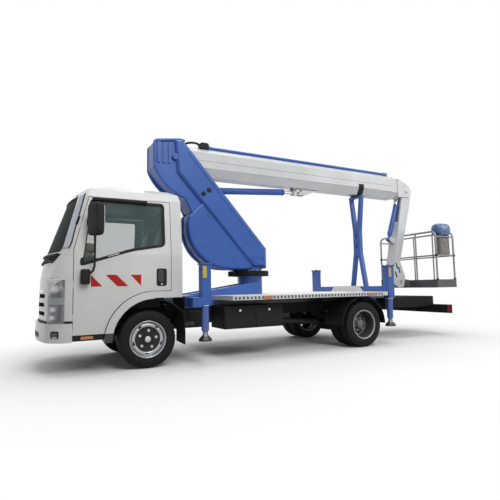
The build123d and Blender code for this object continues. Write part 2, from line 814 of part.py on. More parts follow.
def jack_post(x, y):
    """A square post, open below for its leg, with a cap plate on top."""
    with Locations((x, y, (JACK_TOP + JACK_BOTTOM) / 2)):
        Box(JACK_TUBE, JACK_TUBE, JACK_TOP - JACK_BOTTOM)
    with Locations((x, y, JACK_TOP - JACK_CAP / 2)):
        Box(JACK_TUBE + 2 * JACK_CAP_LIP, JACK_TUBE + 2 * JACK_CAP_LIP, JACK_CAP)
    with Locations((x, y, (JACK_TOP - JACK_CAP + JACK_BOTTOM) / 2)):
        Cylinder(leg_radius + SLIDE_FIT, JACK_TOP - JACK_CAP - JACK_BOTTOM, mode=Mode.SUBTRACT)


with BuildPart() as subframe:
    for _, side in SIDES:
        box_between(
            (brace_front, rear_jack_x),
            (side * (RAIL_Y - RAIL_FLANGE), side * RAIL_Y),
            (RAIL_TOP, DECK_BOTTOM),
        )
        with BuildSketch(side_plane(side * BRACE_Y)):
            with BuildLine():
                Polyline(
                    (TURRET_X, DECK_TOP),
                    (TURRET_X, DECK_TOP + BRACE_REAR_HEIGHT),
                    (brace_front, housing_z + housing_outer / 2),
                    (brace_front, housing_z + housing_outer / 2 - BRACE_FRONT_HEIGHT),
                    (station(-DECK_FRONT_BACK) + DECK_END_GAP, DECK_TOP - BRACE_FRONT_HEIGHT / 2),
                    (station(-DECK_FRONT_BACK) + DECK_END_GAP, DECK_TOP),
                    close=True,
                )
            make_face()
        extrude(amount=BRACE_WIDTH / 2, both=True)
        jack_post(rear_jack_x, side * JACK_Y)
    with Locations((outrigger_x, 0, housing_z)):
        Box(housing_outer, 2 * HOUSING_HALF, housing_outer)
    box_between(
        (rear_jack_x - REAR_BEAM_DEPTH / 2, rear_jack_x + REAR_BEAM_DEPTH / 2),
        (-JACK_Y + JACK_TUBE / 2, JACK_Y - JACK_TUBE / 2),
        (DECK_BOTTOM, DECK_TOP + REAR_BEAM_HEIGHT),
    )
    with BuildSketch(Plane.XY.offset(DECK_TOP)):
        with Locations((TURRET_X, 0)):
            Circle(PEDESTAL_RADIUS)
    extrude(amount=PEDESTAL_TOP - DECK_TOP)
    with Locations((outrigger_x, 0, housing_z)):
        bore = OUTRIGGER_TUBE + 2 * SLIDE_FIT
        Box(bore, 2 * HOUSING_HALF, bore, mode=Mode.SUBTRACT)
    with BuildSketch(Plane.XY.offset(DECK_TOP)):
        with Locations((TURRET_X, 0)):
            Circle(PEDESTAL_RADIUS - PEDESTAL_WALL)
    extrude(amount=PEDESTAL_TOP - DECK_TOP - PEDESTAL_FLANGE, mode=Mode.SUBTRACT)
save(subframe, "subframe")

with BuildPart() as deck:
    box_between(
        (station(-DECK_FRONT_BACK), deck_rear),
        (-DECK_HALF_WIDTH, DECK_HALF_WIDTH),
        (DECK_BOTTOM, DECK_TOP),
    )
    bay = (station(-DECK_FRONT_BACK) - deck_rear - DECK_RIB) / DECK_BAYS
    for index in range(DECK_BAYS):
        bay_front = station(-DECK_FRONT_BACK) - DECK_RIB - index * bay
        box_between(
            (bay_front, bay_front - bay + DECK_RIB),
            (-DECK_HALF_WIDTH + DECK_SHEET, DECK_HALF_WIDTH - DECK_SHEET),
            (DECK_BOTTOM, DECK_TOP - DECK_SHEET),
            mode=Mode.SUBTRACT,
        )
    cover_top = DECK_TOP + REAR_BEAM_HEIGHT + BEAM_COVER_SHEET
    cover_depth = REAR_BEAM_DEPTH / 2 + BEAM_COVER_SHEET
    with BuildSketch(Plane.YZ.offset(rear_jack_x)):
        with BuildLine():
            Polyline(
                (-BEAM_COVER_FOOT, DECK_TOP),
                (-BEAM_COVER_CREST, cover_top),
                (BEAM_COVER_CREST, cover_top),
                (BEAM_COVER_FOOT, DECK_TOP),
                close=True,
            )
        make_face()
    extrude(amount=cover_depth, both=True)
    box_between(
        (rear_jack_x - REAR_BEAM_DEPTH / 2, rear_jack_x + REAR_BEAM_DEPTH / 2),
        (-JACK_Y, JACK_Y),
        (DECK_TOP, DECK_TOP + REAR_BEAM_HEIGHT),
        mode=Mode.SUBTRACT,
    )
save(deck, "deck")

with BuildPart() as slew_ring:
    with BuildSketch(Plane.XY.offset(PEDESTAL_TOP)):
        with Locations((TURRET_X, 0)):
            Circle(RING_RADIUS)
        with Locations((TURRET_X + RING_RADIUS - SLEW_DRIVE_RADIUS / 4, 0)):
            Circle(SLEW_DRIVE_RADIUS)
    extrude(amount=RING_HEIGHT)
save(slew_ring, "slew_ring")

# Boom rest behind the deck, a waisted frame across the truck

rest_x = station(-REST_BACK)
saddle_bottom = BOOM_BOTTOM_Z - SADDLE_THICKNESS
rest_top = saddle_bottom - REST_GAP
waist_low, waist_high = [RAIL_TOP + share * (rest_top - RAIL_TOP) for share in REST_WAIST_SHARES]
with BuildPart() as boom_rest:
    with BuildSketch(Plane.YZ.offset(rest_x)):
        with BuildLine():
            Polyline(
                (-REST_FOOT_HALF, RAIL_TOP),
                (-REST_WAIST_HALF, waist_low),
                (-REST_WAIST_HALF, waist_high),
                (-REST_TOP_HALF, rest_top),
                (REST_TOP_HALF, rest_top),
                (REST_WAIST_HALF, waist_high),
                (REST_WAIST_HALF, waist_low),
                (REST_FOOT_HALF, RAIL_TOP),
                close=True,
            )
        make_face()
        with BuildLine():
            Polyline(
                (-REST_FOOT_HALF + REST_LEG, RAIL_TOP),
                (-REST_LEG / 2, waist_low - REST_LEG),
                (REST_LEG / 2, waist_low - REST_LEG),
                (REST_FOOT_HALF - REST_LEG, RAIL_TOP),
                close=True,
            )
        make_face(mode=Mode.SUBTRACT)
        with BuildLine():
            Polyline(
                (-REST_TOP_HALF + REST_LEG, rest_top - REST_PAD),
                (REST_TOP_HALF - REST_LEG, rest_top - REST_PAD),
                (REST_LEG / 4, waist_high),
                (-REST_LEG / 4, waist_high),
                close=True,
            )
        make_face(mode=Mode.SUBTRACT)
        slot_height = (waist_high - waist_low) / 4
        for share in REST_SLOT_SHARES:
            with Locations((0, waist_low + share * (waist_high - waist_low))):
                SlotOverall(slot_height, REST_LEG / 2, rotation=QUARTER, mode=Mode.SUBTRACT)
    extrude(amount=REST_DEPTH / 2, both=True)
    box_between(
        (rest_x - REST_DEPTH / 2, rest_x + REST_DEPTH / 2),
        (-RAIL_Y, RAIL_Y),
        (RAIL_TOP, RAIL_TOP + REST_PAD),
    )
save(boom_rest, "boom_rest")

# Front outriggers and the four jack legs

for name, side in SIDES:
    with BuildPart() as outrigger:
        inner, outer = side * OUTRIGGER_INNER_END, side * (JACK_Y + JACK_TUBE / 2)
        half = OUTRIGGER_TUBE / 2
        box_between(
            (outrigger_x - half, outrigger_x + half),
            (inner, outer),
            (housing_z - half, housing_z + half),
        )
        core = half - OUTRIGGER_WALL
        with Locations((outrigger_x, (inner + outer) / 2, housing_z)):
            Box(2 * core, abs(outer - inner) - 2 * OUTRIGGER_WALL, 2 * core, mode=Mode.SUBTRACT)
        jack_post(front_jack_x, side * JACK_Y)
    save(outrigger, f"outrigger_{name}")

    for end, jack_x in (("front", front_jack_x), ("rear", rear_jack_x)):
        with BuildPart() as leg:
            with Locations((jack_x, side * JACK_Y, LEG_BOTTOM + LEG_LENGTH / 2)):
                Cylinder(leg_radius, LEG_LENGTH)
            ball_z = LEG_BOTTOM - FOOT_BALL_RADIUS
            with BuildSketch(Plane.XZ.offset(-side * JACK_Y)):
                with BuildLine():
                    Polyline(
                        (jack_x, LEG_BOTTOM),
                        (jack_x, FOOT_BOTTOM),
                        (jack_x + FOOT_RADIUS, FOOT_BOTTOM),
                        (jack_x + FOOT_RADIUS, FOOT_BOTTOM + FOOT_THICKNESS),
                        (jack_x + FOOT_BALL_RADIUS, ball_z - FOOT_BALL_RADIUS / 2),
                        (jack_x + FOOT_BALL_RADIUS, LEG_BOTTOM),
                        close=True,
                    )
                make_face()
            revolve(axis=Axis((jack_x, side * JACK_Y, 0), (0, 0, 1)))
        save(leg, f"jack_{end}_{name}")

# Running gear

with BuildPart() as front_axle:
    half_beam = AXLE_BEAM_HEIGHT / 2
    beam_z = AXLE_Z - AXLE_DROP
    eye = KINGPIN_EYE
    box_between(
        (FRONT_X - AXLE_BEAM_DEPTH / 2, FRONT_X + AXLE_BEAM_DEPTH / 2),
        (-KINGPIN_Y, KINGPIN_Y),
        (beam_z - half_beam, beam_z + half_beam),
    )
    with BuildSketch(Plane.XY.offset(beam_z - half_beam)):
        with Locations(*[(FRONT_X, side * KINGPIN_Y) for _, side in SIDES]):
            Circle(eye)
    extrude(amount=AXLE_BEAM_HEIGHT)
    with BuildSketch(Plane.XY.offset(beam_z - half_beam)):
        with Locations(*[(FRONT_X, side * KINGPIN_Y) for _, side in SIDES]):
            Circle(KINGPIN_RADIUS + RUNNING_FIT)
    extrude(amount=AXLE_BEAM_HEIGHT, mode=Mode.SUBTRACT)
    for _, side in SIDES:
        with BuildSketch(side_plane(side * SPRING_Y)):
            with BuildLine():
                top = AXLE_Z + half_beam - AXLE_DROP - SPRING_SEAT
                ThreePointArc(
                    (FRONT_X - SPRING_LENGTH / 2, RAIL_BOTTOM),
                    (FRONT_X, top),
                    (FRONT_X + SPRING_LENGTH / 2, RAIL_BOTTOM),
                )
                Line(
                    (FRONT_X + SPRING_LENGTH / 2, RAIL_BOTTOM),
                    (FRONT_X + SPRING_LENGTH / 2 - SPRING_SHACKLE, RAIL_BOTTOM),
                )
                ThreePointArc(
                    (FRONT_X + SPRING_LENGTH / 2 - SPRING_SHACKLE, RAIL_BOTTOM),
                    (FRONT_X, top + SPRING_THICKNESS),
                    (FRONT_X - SPRING_LENGTH / 2 + SPRING_SHACKLE, RAIL_BOTTOM),
                )
                Line(
                    (FRONT_X - SPRING_LENGTH / 2 + SPRING_SHACKLE, RAIL_BOTTOM),
                    (FRONT_X - SPRING_LENGTH / 2, RAIL_BOTTOM),
                )
            make_face()
        extrude(amount=SPRING_WIDTH / 2, both=True)
save(front_axle, "front_axle")

hub_inner_y = REAR_OUTER_Y - TWIN_PITCH - TYRE_WIDTH / 2 - HUB_INNER_GAP
with BuildPart() as rear_axle:
    with BuildSketch(Plane.XZ):
        with Locations((REAR_X, AXLE_Z)):
            Circle(REAR_TUBE_RADIUS)
    extrude(amount=hub_inner_y, both=True)
    with BuildSketch(Plane.XZ):
        with Locations((REAR_X, AXLE_Z)):
            Circle(DIFF_RADIUS)
    extrude(amount=DIFF_WIDTH / 2, both=True)
    with BuildSketch(Plane.XZ):
        with Locations((REAR_X, AXLE_Z)):
            Circle(SPINDLE_RADIUS)
    extrude(amount=REAR_OUTER_Y - TWIN_PITCH / 2 + HUB_RADIUS, both=True)
    for _, side in SIDES:
        with BuildSketch(side_plane(side * SPRING_Y)):
            with BuildLine():
                top = AXLE_Z + REAR_TUBE_RADIUS - SPRING_THICKNESS / 2
                ThreePointArc(
                    (REAR_X - SPRING_LENGTH / 2, RAIL_BOTTOM),
                    (REAR_X, top),
                    (REAR_X + SPRING_LENGTH / 2, RAIL_BOTTOM),
                )
                Line(
                    (REAR_X + SPRING_LENGTH / 2, RAIL_BOTTOM),
                    (REAR_X + SPRING_LENGTH / 2 - SPRING_SHACKLE, RAIL_BOTTOM),
                )
                ThreePointArc(
                    (REAR_X + SPRING_LENGTH / 2 - SPRING_SHACKLE, RAIL_BOTTOM),
                    (REAR_X, top + SPRING_THICKNESS),
                    (REAR_X - SPRING_LENGTH / 2 + SPRING_SHACKLE, RAIL_BOTTOM),
                )
                Line(
                    (REAR_X - SPRING_LENGTH / 2 + SPRING_SHACKLE, RAIL_BOTTOM),
                    (REAR_X - SPRING_LENGTH / 2, RAIL_BOTTOM),
                )
            make_face()
        extrude(amount=SPRING_WIDTH / 2, both=True)
save(rear_axle, "rear_axle")

with BuildPart() as powertrain:
    box_between(
        (station(ENGINE_AHEAD + ENGINE_LENGTH / 2), station(ENGINE_AHEAD - ENGINE_LENGTH / 2)),
        (-ENGINE_WIDTH / 2, ENGINE_WIDTH / 2),
        (ENGINE_BOTTOM + AXLE_BEAM_HEIGHT, ENGINE_TOP),
    )
    for _, side in SIDES:
        box_between(
            (station(ENGINE_AHEAD - CROSS_MEMBER), station(ENGINE_AHEAD + CROSS_MEMBER)),
            (side * ENGINE_WIDTH / 2, side * (RAIL_Y - RAIL_WALL)),
            (RAIL_BOTTOM + 2 * RAIL_WALL, RAIL_BOTTOM + CROSS_MEMBER),
        )
    shaft_front = station(ENGINE_AHEAD - ENGINE_LENGTH / 2)
    shaft_rear = REAR_X + DIFF_RADIUS
    shaft_z = (AXLE_Z + ENGINE_TOP) / 2 - SHAFT_RADIUS
    shaft = Plane((shaft_front, 0, shaft_z), z_dir=(shaft_rear - shaft_front, 0, AXLE_Z - shaft_z))
    with BuildSketch(shaft):
        Circle(SHAFT_RADIUS)
    extrude(amount=math.hypot(shaft_rear - shaft_front, AXLE_Z - shaft_z) - 3 * SLIDE_FIT)
save(powertrain, "powertrain")


def tyre_profile(centre_y, shoulder):
    """Half of a tyre's section from its bore to its tread; a shoulder is cut on the side it points to."""
    half = TYRE_WIDTH / 2
    bore = RIM_FLANGE + RIM_GAP
    outer = half if shoulder >= 0 else -half
    points = [(centre_y - outer, bore), (centre_y - outer, TYRE_RADIUS)]
    if shoulder:
        points.append((centre_y + outer - shoulder, TYRE_RADIUS))
        points.append((centre_y + outer, TYRE_RADIUS - 2 * TYRE_SHOULDER))
    else:
        points.append((centre_y + outer, TYRE_RADIUS))
    points.append((centre_y + outer, bore))
    Polyline(*points, close=True)


def wheel_plane(x):
    """A plane whose first axis is the wheel's own axis to the left and whose second is up."""
    return Plane((x, 0, AXLE_Z), x_dir=(0, 1, 0), z_dir=(1, 0, 0))


def rim_section(centre_y, disc_y, hub_radius):
    """A rim's barrel with its flanges, joined to the hub by a disc at its own offset."""
    half = TYRE_WIDTH / 2 * TREAD_SHARE + RIM_WALL
    with Locations((centre_y, RIM_RADIUS - RIM_WALL / 2)):
        Rectangle(2 * half, RIM_WALL)
    with Locations((centre_y - half, RIM_FLANGE - RIM_WALL), (centre_y + half, RIM_FLANGE - RIM_WALL)):
        Rectangle(RIM_WALL / 2, 2 * RIM_WALL)
    with Locations((disc_y, hub_radius)):
        disc_reach = RIM_RADIUS - RIM_WALL / 2 - hub_radius
        Rectangle(DISC_THICKNESS, disc_reach, align=(Align.CENTER, Align.MIN))


for name, side in SIDES:
    steer_y = side * KINGPIN_Y
    beam_z = AXLE_Z - AXLE_DROP
    disc_y = side * (FRONT_WHEEL_Y + FRONT_DISC_Y)
    knuckle_face = KNUCKLE_ARM + KNUCKLE_ARM / 2
    with BuildPart() as knuckle:
        with BuildSketch(Plane.XY.offset(beam_z - KNUCKLE_HEIGHT / 2)):
            with Locations((FRONT_X, steer_y)):
                Circle(KINGPIN_RADIUS)
        extrude(amount=KNUCKLE_HEIGHT)
        gap = AXLE_BEAM_HEIGHT / 2 + SLIDE_FIT
        for low, high in ((gap, KNUCKLE_HEIGHT / 2), (-KNUCKLE_HEIGHT / 2, -gap)):
            box_between(
                (FRONT_X - KNUCKLE_ARM, FRONT_X + KNUCKLE_ARM),
                (steer_y - side * KNUCKLE_ARM, steer_y + side * 2 * KNUCKLE_ARM),
                (beam_z + low, beam_z + high),
            )
        box_between(
            (FRONT_X - KNUCKLE_ARM, FRONT_X + KNUCKLE_ARM),
            (steer_y + side * knuckle_face, steer_y + side * 2 * KNUCKLE_ARM),
            (beam_z - KNUCKLE_HEIGHT / 2, beam_z + KNUCKLE_HEIGHT / 2),
        )
        with BuildSketch(side_plane(steer_y + side * knuckle_face)):
            with Locations((FRONT_X, AXLE_Z)):
                Circle(SPINDLE_RADIUS)
        extrude(amount=-side * (abs(disc_y) + HUB_CAP_RADIUS - KINGPIN_Y - knuckle_face))
    save(knuckle, f"knuckle_{name}")

    wheel_axis = Axis((FRONT_X, 0, AXLE_Z), (0, 1, 0))
    with BuildPart() as front_tyre:
        with BuildSketch(wheel_plane(FRONT_X)):
            with BuildLine():
                tyre_profile(side * FRONT_WHEEL_Y, side * TYRE_SHOULDER)
            make_face()
        revolve(axis=wheel_axis)
    save(front_tyre, f"tyre_front_{name}")

    with BuildPart() as front_rim:
        with BuildSketch(wheel_plane(FRONT_X)):
            rim_section(side * FRONT_WHEEL_Y, disc_y, SPINDLE_RADIUS + RUNNING_FIT)
            hub_length = HUB_CAP_RADIUS + DISC_THICKNESS
            hub_half = (HUB_RADIUS - SPINDLE_RADIUS - RUNNING_FIT) / 2
            with Locations((disc_y, SPINDLE_RADIUS + RUNNING_FIT + hub_half)):
                Rectangle(hub_length, 2 * hub_half)
        revolve(axis=wheel_axis)
    save(front_rim, f"rim_front_{name}")

    rear_axis = Axis((REAR_X, 0, AXLE_Z), (0, 1, 0))
    middle_y = REAR_OUTER_Y - TWIN_PITCH / 2
    with BuildPart() as rear_tyres:
        with BuildSketch(wheel_plane(REAR_X)):
            with BuildLine():
                tyre_profile(side * REAR_OUTER_Y, side * TYRE_SHOULDER)
            make_face()
            with BuildLine():
                tyre_profile(side * (REAR_OUTER_Y - TWIN_PITCH), 0)
            make_face()
        revolve(axis=rear_axis)
    save(rear_tyres, f"tyres_rear_{name}")

    with BuildPart() as rear_rims:
        with BuildSketch(wheel_plane(REAR_X)):
            bore = SPINDLE_RADIUS + RUNNING_FIT
            rim_section(side * REAR_OUTER_Y, side * (middle_y + DISC_THICKNESS * 2), bore)
            rim_section(side * (REAR_OUTER_Y - TWIN_PITCH), side * (middle_y - DISC_THICKNESS * 2), bore)
            with Locations((side * middle_y, bore + (HUB_RADIUS - bore) / 2)):
                Rectangle(2 * HUB_RADIUS, HUB_RADIUS - bore)
        revolve(axis=rear_axis)
    save(rear_rims, f"rims_rear_{name}")

# Black trim and boxes under the deck

with BuildPart() as side_boxes:
    for _, side in SIDES:
        front = station(-SIDE_BOX_FRONT_BACK)
        box_between(
            (front, front - SIDE_BOX_LENGTH),
            (side * RAIL_Y, side * (SIDE_BOX_Y + SIDE_BOX_WIDTH)),
            (SIDE_BOX_BOTTOM, RAIL_TOP),
        )
        box_between(
            (front - SIDE_BOX_WALL, front - SIDE_BOX_LENGTH + SIDE_BOX_WALL),
            (side * (RAIL_Y + SIDE_BOX_WALL), side * (SIDE_BOX_Y + SIDE_BOX_WIDTH - SIDE_BOX_WALL)),
            (SIDE_BOX_BOTTOM + SIDE_BOX_WALL, RAIL_TOP - SIDE_BOX_WALL),
            mode=Mode.SUBTRACT,
        )
save(side_boxes, "side_boxes")

with BuildPart() as mudguards:
    for _, side in SIDES:
        guard_radius = DECK_BOTTOM - SLIDE_FIT - AXLE_Z
        guard_middle = REAR_OUTER_Y - TWIN_PITCH / 2
        guard_half = TWIN_PITCH / 2 + TYRE_WIDTH / 2
        with BuildSketch(side_plane(side * guard_middle)):
            with Locations((REAR_X, AXLE_Z)):
                Circle(guard_radius)
                Circle(guard_radius - GUARD_SHEET, mode=Mode.SUBTRACT)
                Rectangle(REACH, REACH, align=(Align.CENTER, Align.MAX), mode=Mode.SUBTRACT)
        extrude(amount=guard_half, both=True)
        box_between(
            (REAR_X - GUARD_STAY / 2, REAR_X + GUARD_STAY / 2),
            (side * (guard_middle - guard_half), side * (guard_middle + guard_half)),
            (AXLE_Z + guard_radius - GUARD_SHEET / 2, DECK_TOP - DECK_SHEET),
        )
        box_between(
            (station(SILL_STAY), station(SILL_STAY - CROSS_MEMBER)),
            (side * RAIL_Y, side * (RAIL_Y + GUARD_SHEET)),
            (DOOR_BOTTOM - PANEL_GAP - SILL_HEIGHT, RAIL_BOTTOM + CROSS_MEMBER),
        )
        sill_half = CAB_SECTIONS[0][2]
        liner = ARCH_RADIUS - SLIDE_FIT
        with BuildSketch(side_plane(side * LINER_INNER_Y)):
            with Locations((station(-ARCH_BACK), AXLE_Z)):
                Circle(liner)
                Circle(liner - GUARD_SHEET, mode=Mode.SUBTRACT)
                Rectangle(REACH, REACH, align=(Align.CENTER, Align.MAX), mode=Mode.SUBTRACT)
            with Locations((station(-FLAP_BACK), AXLE_Z)):
                Rectangle(REACH, REACH, align=(Align.MAX, Align.CENTER), mode=Mode.SUBTRACT)
        extrude(amount=-side * (sill_half - PANEL_GAP - LINER_INNER_Y))
        flap_top = CAB_REAR_BOTTOM - PANEL_GAP
        box_between(
            (station(-FLAP_BACK), station(-FLAP_BACK) - GUARD_SHEET),
            (side * RAIL_Y, side * (sill_half - PANEL_GAP)),
            (flap_top - FLAP_HEIGHT, flap_top),
        )
        box_between(
            (station(CAB_FRONT_SEAM - PANEL_GAP), station(FLARE_RADIUS - ARCH_BACK + PANEL_GAP)),
            (side * RAIL_Y, side * (sill_half - PANEL_GAP)),
            (DOOR_BOTTOM - PANEL_GAP - SILL_HEIGHT, DOOR_BOTTOM - PANEL_GAP),
        )
save(mudguards, "mudguards")

with BuildPart() as rear_bar:
    bar_x = station(-REAR_BAR_BACK)
    box_between(
        (bar_x, bar_x + REAR_BAR_DEPTH),
        (-REAR_BAR_HALF, REAR_BAR_HALF),
        (REAR_BAR_BOTTOM, REAR_BAR_BOTTOM + REAR_BAR_HEIGHT),
    )
    for _, side in SIDES:
        box_between(
            (bar_x + REAR_BAR_DEPTH, bar_x),
            (side * (RAIL_Y - RAIL_FLANGE), side * RAIL_Y),
            (REAR_BAR_BOTTOM, RAIL_TOP),
        )
    box_between(
        (bar_x, rest_x - REST_DEPTH),
        (-TRAY_HALF, TRAY_HALF),
        (RAIL_TOP, RAIL_TOP + TRAY_SHEET),
    )
    for _, side in SIDES:
        box_between(
            (bar_x, rest_x - REST_DEPTH),
            (side * (TRAY_HALF - TRAY_SHEET), side * TRAY_HALF),
            (RAIL_BOTTOM, RAIL_TOP + TRAY_SHEET),
        )
save(rear_bar, "rear_bar")

# Turret arm, two plates over a boxed column that leans forward over the cab

boom_pin_x = station(-BOOM_PIN_BACK)
lift_pin_x = station(-LIFT_PIN_BACK)
rod_pin_x = station(-ROD_PIN_BACK)


def arm_point(back, share):
    """A point of the arm: distance behind the front axle, and share of the rise from base to boom pin."""
    return (station(-back), ARM_BASE_Z + share * ARM_RISE)


def arm_outline():
    """The arm seen from the side, from its base up its back, over its head and down its front."""
    Polyline(*[arm_point(*row) for row in ARM_BACK_EDGE])
    ThreePointArc(*[arm_point(*row) for row in ARM_THROAT])
    Polyline(*[arm_point(*row) for row in ARM_STEP])
    ThreePointArc(*[arm_point(*row) for row in ARM_BELLY])


with BuildPart() as arm:
    with BuildSketch(Plane.XZ):
        with BuildLine():
            arm_outline()
        make_face()
    extrude(amount=ARM_HALF_WIDTH, both=True)
    with BuildSketch(Plane.XZ):
        with BuildLine():
            arm_outline()
        make_face()
        offset(amount=-ARM_PLATE, kind=Kind.INTERSECTION)
    extrude(amount=ARM_HALF_WIDTH - ARM_PLATE, both=True, mode=Mode.SUBTRACT)
    with BuildSketch(Plane.XZ):
        with BuildLine():
            Polyline(*[arm_point(*row) for row in ARM_SLOT], close=True)
        make_face()
    extrude(amount=ARM_HALF_WIDTH - ARM_PLATE, both=True, mode=Mode.SUBTRACT)
    for _, side in SIDES:
        with BuildSketch(side_plane(side * ARM_HALF_WIDTH)):
            with BuildLine():
                Polyline(*[arm_point(*row) for row in ARM_SPINE], close=True)
            make_face()
        extrude(amount=-side * SPINE_PROUD)
        with BuildSketch(side_plane(side * ARM_HALF_WIDTH)):
            with Locations(arm_point(*BELLY_CENTRE)):
                Circle(BELLY_RADIUS)
            with BuildLine():
                arm_outline()
            make_face(mode=Mode.INTERSECT)
            with BuildLine():
                Polyline(*[arm_point(*row) for row in ARM_SPINE], close=True)
            make_face(mode=Mode.SUBTRACT)
        extrude(amount=-side * BELLY_PROUD)
        for back in HEAD_RIBS:
            rib_low = arm_point(back, HEAD_RIB_SHARES[0])
            rib_high = arm_point(back, HEAD_RIB_SHARES[1])
            box_between(
                (rib_low[0] - HEAD_RIB_WIDTH / 2, rib_low[0] + HEAD_RIB_WIDTH / 2),
                (side * (ARM_HALF_WIDTH - ARM_PLATE), side * (ARM_HALF_WIDTH + BELLY_PROUD)),
                (rib_low[1], rib_high[1]),
            )
    with BuildSketch(Plane.XY.offset(RING_TOP + RING_FIT)):
        with Locations((TURRET_X, 0)):
            Circle(PEDESTAL_RADIUS)
    extrude(amount=ARM_BASE_Z - RING_TOP - RING_FIT + ARM_PLATE)
    for x, z, radius in (
        (boom_pin_x, BOOM_PIN_Z, BOOM_PIN_RADIUS),
        (lift_pin_x, LIFT_PIN_Z, EYE_BORE),
    ):
        with BuildSketch(Plane.XZ):
            with Locations((x, z)):
                Circle(radius)
        extrude(amount=ARM_HALF_WIDTH + SPINE_PROUD + BRACKET_PLATE, both=True)
save(arm, "arm")

# Telescopic boom: three nested tubes, each with a collar that guides the next


def boom_outline():
    """The boom's eight-sided section, seen from behind."""
    half, top, bottom = BOOM_WIDTH / 2, BOOM_TOP_Z, BOOM_BOTTOM_Z
    Polyline(
        (half, bottom + BOOM_LOWER_RISE),
        (half, top - BOOM_UPPER_RISE),
        (half - BOOM_UPPER_STEP, top),
        (-half + BOOM_UPPER_STEP, top),
        (-half, top - BOOM_UPPER_RISE),
        (-half, bottom + BOOM_LOWER_RISE),
        (-half + BOOM_LOWER_STEP, bottom),
        (half - BOOM_LOWER_STEP, bottom),
        close=True,
    )


STAGE_INSET = BOOM_WALL + BOOM_GAP
boom_root = boom_pin_x + BOOM_ROOT_AHEAD
boom_mouth = station(-BOOM_MOUTH_BACK)

boom_tubes = []
for stage in range(BOOM_STAGES):
    outside = stage * STAGE_INSET
    root = boom_root - stage * BOOM_TAIL_STEP
    mouth = boom_mouth - stage * BOOM_STAGE_STEP
    with BuildPart() as tube:
        for inset, start, mode in (
            (outside, mouth, Mode.ADD),
            (outside + BOOM_WALL, mouth + COLLAR_LENGTH, Mode.SUBTRACT),
            (outside + STAGE_INSET - SLIDE_FIT, mouth, Mode.SUBTRACT),
        ):
            with BuildSketch(Plane.YZ.offset(start)):
                with BuildLine():
                    boom_outline()
                make_face()
                if inset:
                    offset(amount=-inset, kind=Kind.INTERSECTION)
            extrude(amount=root - start, mode=mode)
    boom_tubes.append(tube.part)

with BuildPart() as boom_outer:
    add(boom_tubes[0])
    for _, side in SIDES:
        plate_y = side * (BRACKET_HALF - BRACKET_PLATE / 2)
        with BuildSketch(side_plane(plate_y)):
            with BuildLine():
                Polyline(
                    (rod_pin_x + BRACKET_LENGTH / 5, BOOM_BOTTOM_Z),
                    (rod_pin_x + BRACKET_LENGTH / 5, ROD_PIN_Z - EYE_RADIUS),
                    (rod_pin_x - BRACKET_LENGTH / 3, ROD_PIN_Z - EYE_RADIUS),
                    (rod_pin_x - BRACKET_LENGTH, BOOM_BOTTOM_Z),
                    close=True,
                )
            make_face()
        extrude(amount=BRACKET_PLATE / 2, both=True)
    with BuildSketch(Plane.XZ):
        with Locations((boom_pin_x, BOOM_PIN_Z)):
            Circle(BOOM_PIN_RADIUS + RUNNING_FIT)
    extrude(amount=BOOM_WIDTH, both=True, mode=Mode.SUBTRACT)
save(boom_outer, "boom_outer")

with BuildPart() as boom_saddle:
    with BuildSketch(Plane.YZ.offset(rest_x)):
        with BuildLine():
            boom_outline()
        make_face()
        offset(amount=SADDLE_THICKNESS, kind=Kind.INTERSECTION)
        boom_inside = BOOM_WIDTH + 4 * SADDLE_THICKNESS
        with Locations((0, BOOM_BOTTOM_Z + SADDLE_CHEEK)):
            Rectangle(boom_inside, BOOM_HEIGHT, align=(Align.CENTER, Align.MIN), mode=Mode.SUBTRACT)
    extrude(amount=SADDLE_LENGTH / 2, both=True)
    with BuildSketch(Plane.YZ.offset(rest_x)):
        with BuildLine():
            boom_outline()
        make_face()
    extrude(amount=SADDLE_LENGTH, both=True, mode=Mode.SUBTRACT)
save(boom_saddle, "boom_saddle")

with BuildPart() as boom_duct:
    with BuildSketch(Plane.YZ.offset(station(-DUCT_REAR_BACK))):
        with Locations((DUCT_Y, BOOM_TOP_Z + DUCT_RADIUS)):
            Circle(DUCT_RADIUS)
    extrude(amount=DUCT_REAR_BACK - DUCT_FRONT_BACK)
    for back in (DUCT_FRONT_BACK, DUCT_REAR_BACK - 4 * DUCT_RADIUS):
        box_between(
            (station(-back), station(-back) - 4 * DUCT_RADIUS),
            (DUCT_Y - DUCT_RADIUS, DUCT_Y + DUCT_RADIUS),
            (BOOM_TOP_Z, BOOM_TOP_Z + 2 * DUCT_RADIUS),
        )
save(boom_duct, "boom_duct")

with BuildPart() as boom_mid:
    add(boom_tubes[1])
save(boom_mid, "boom_mid")

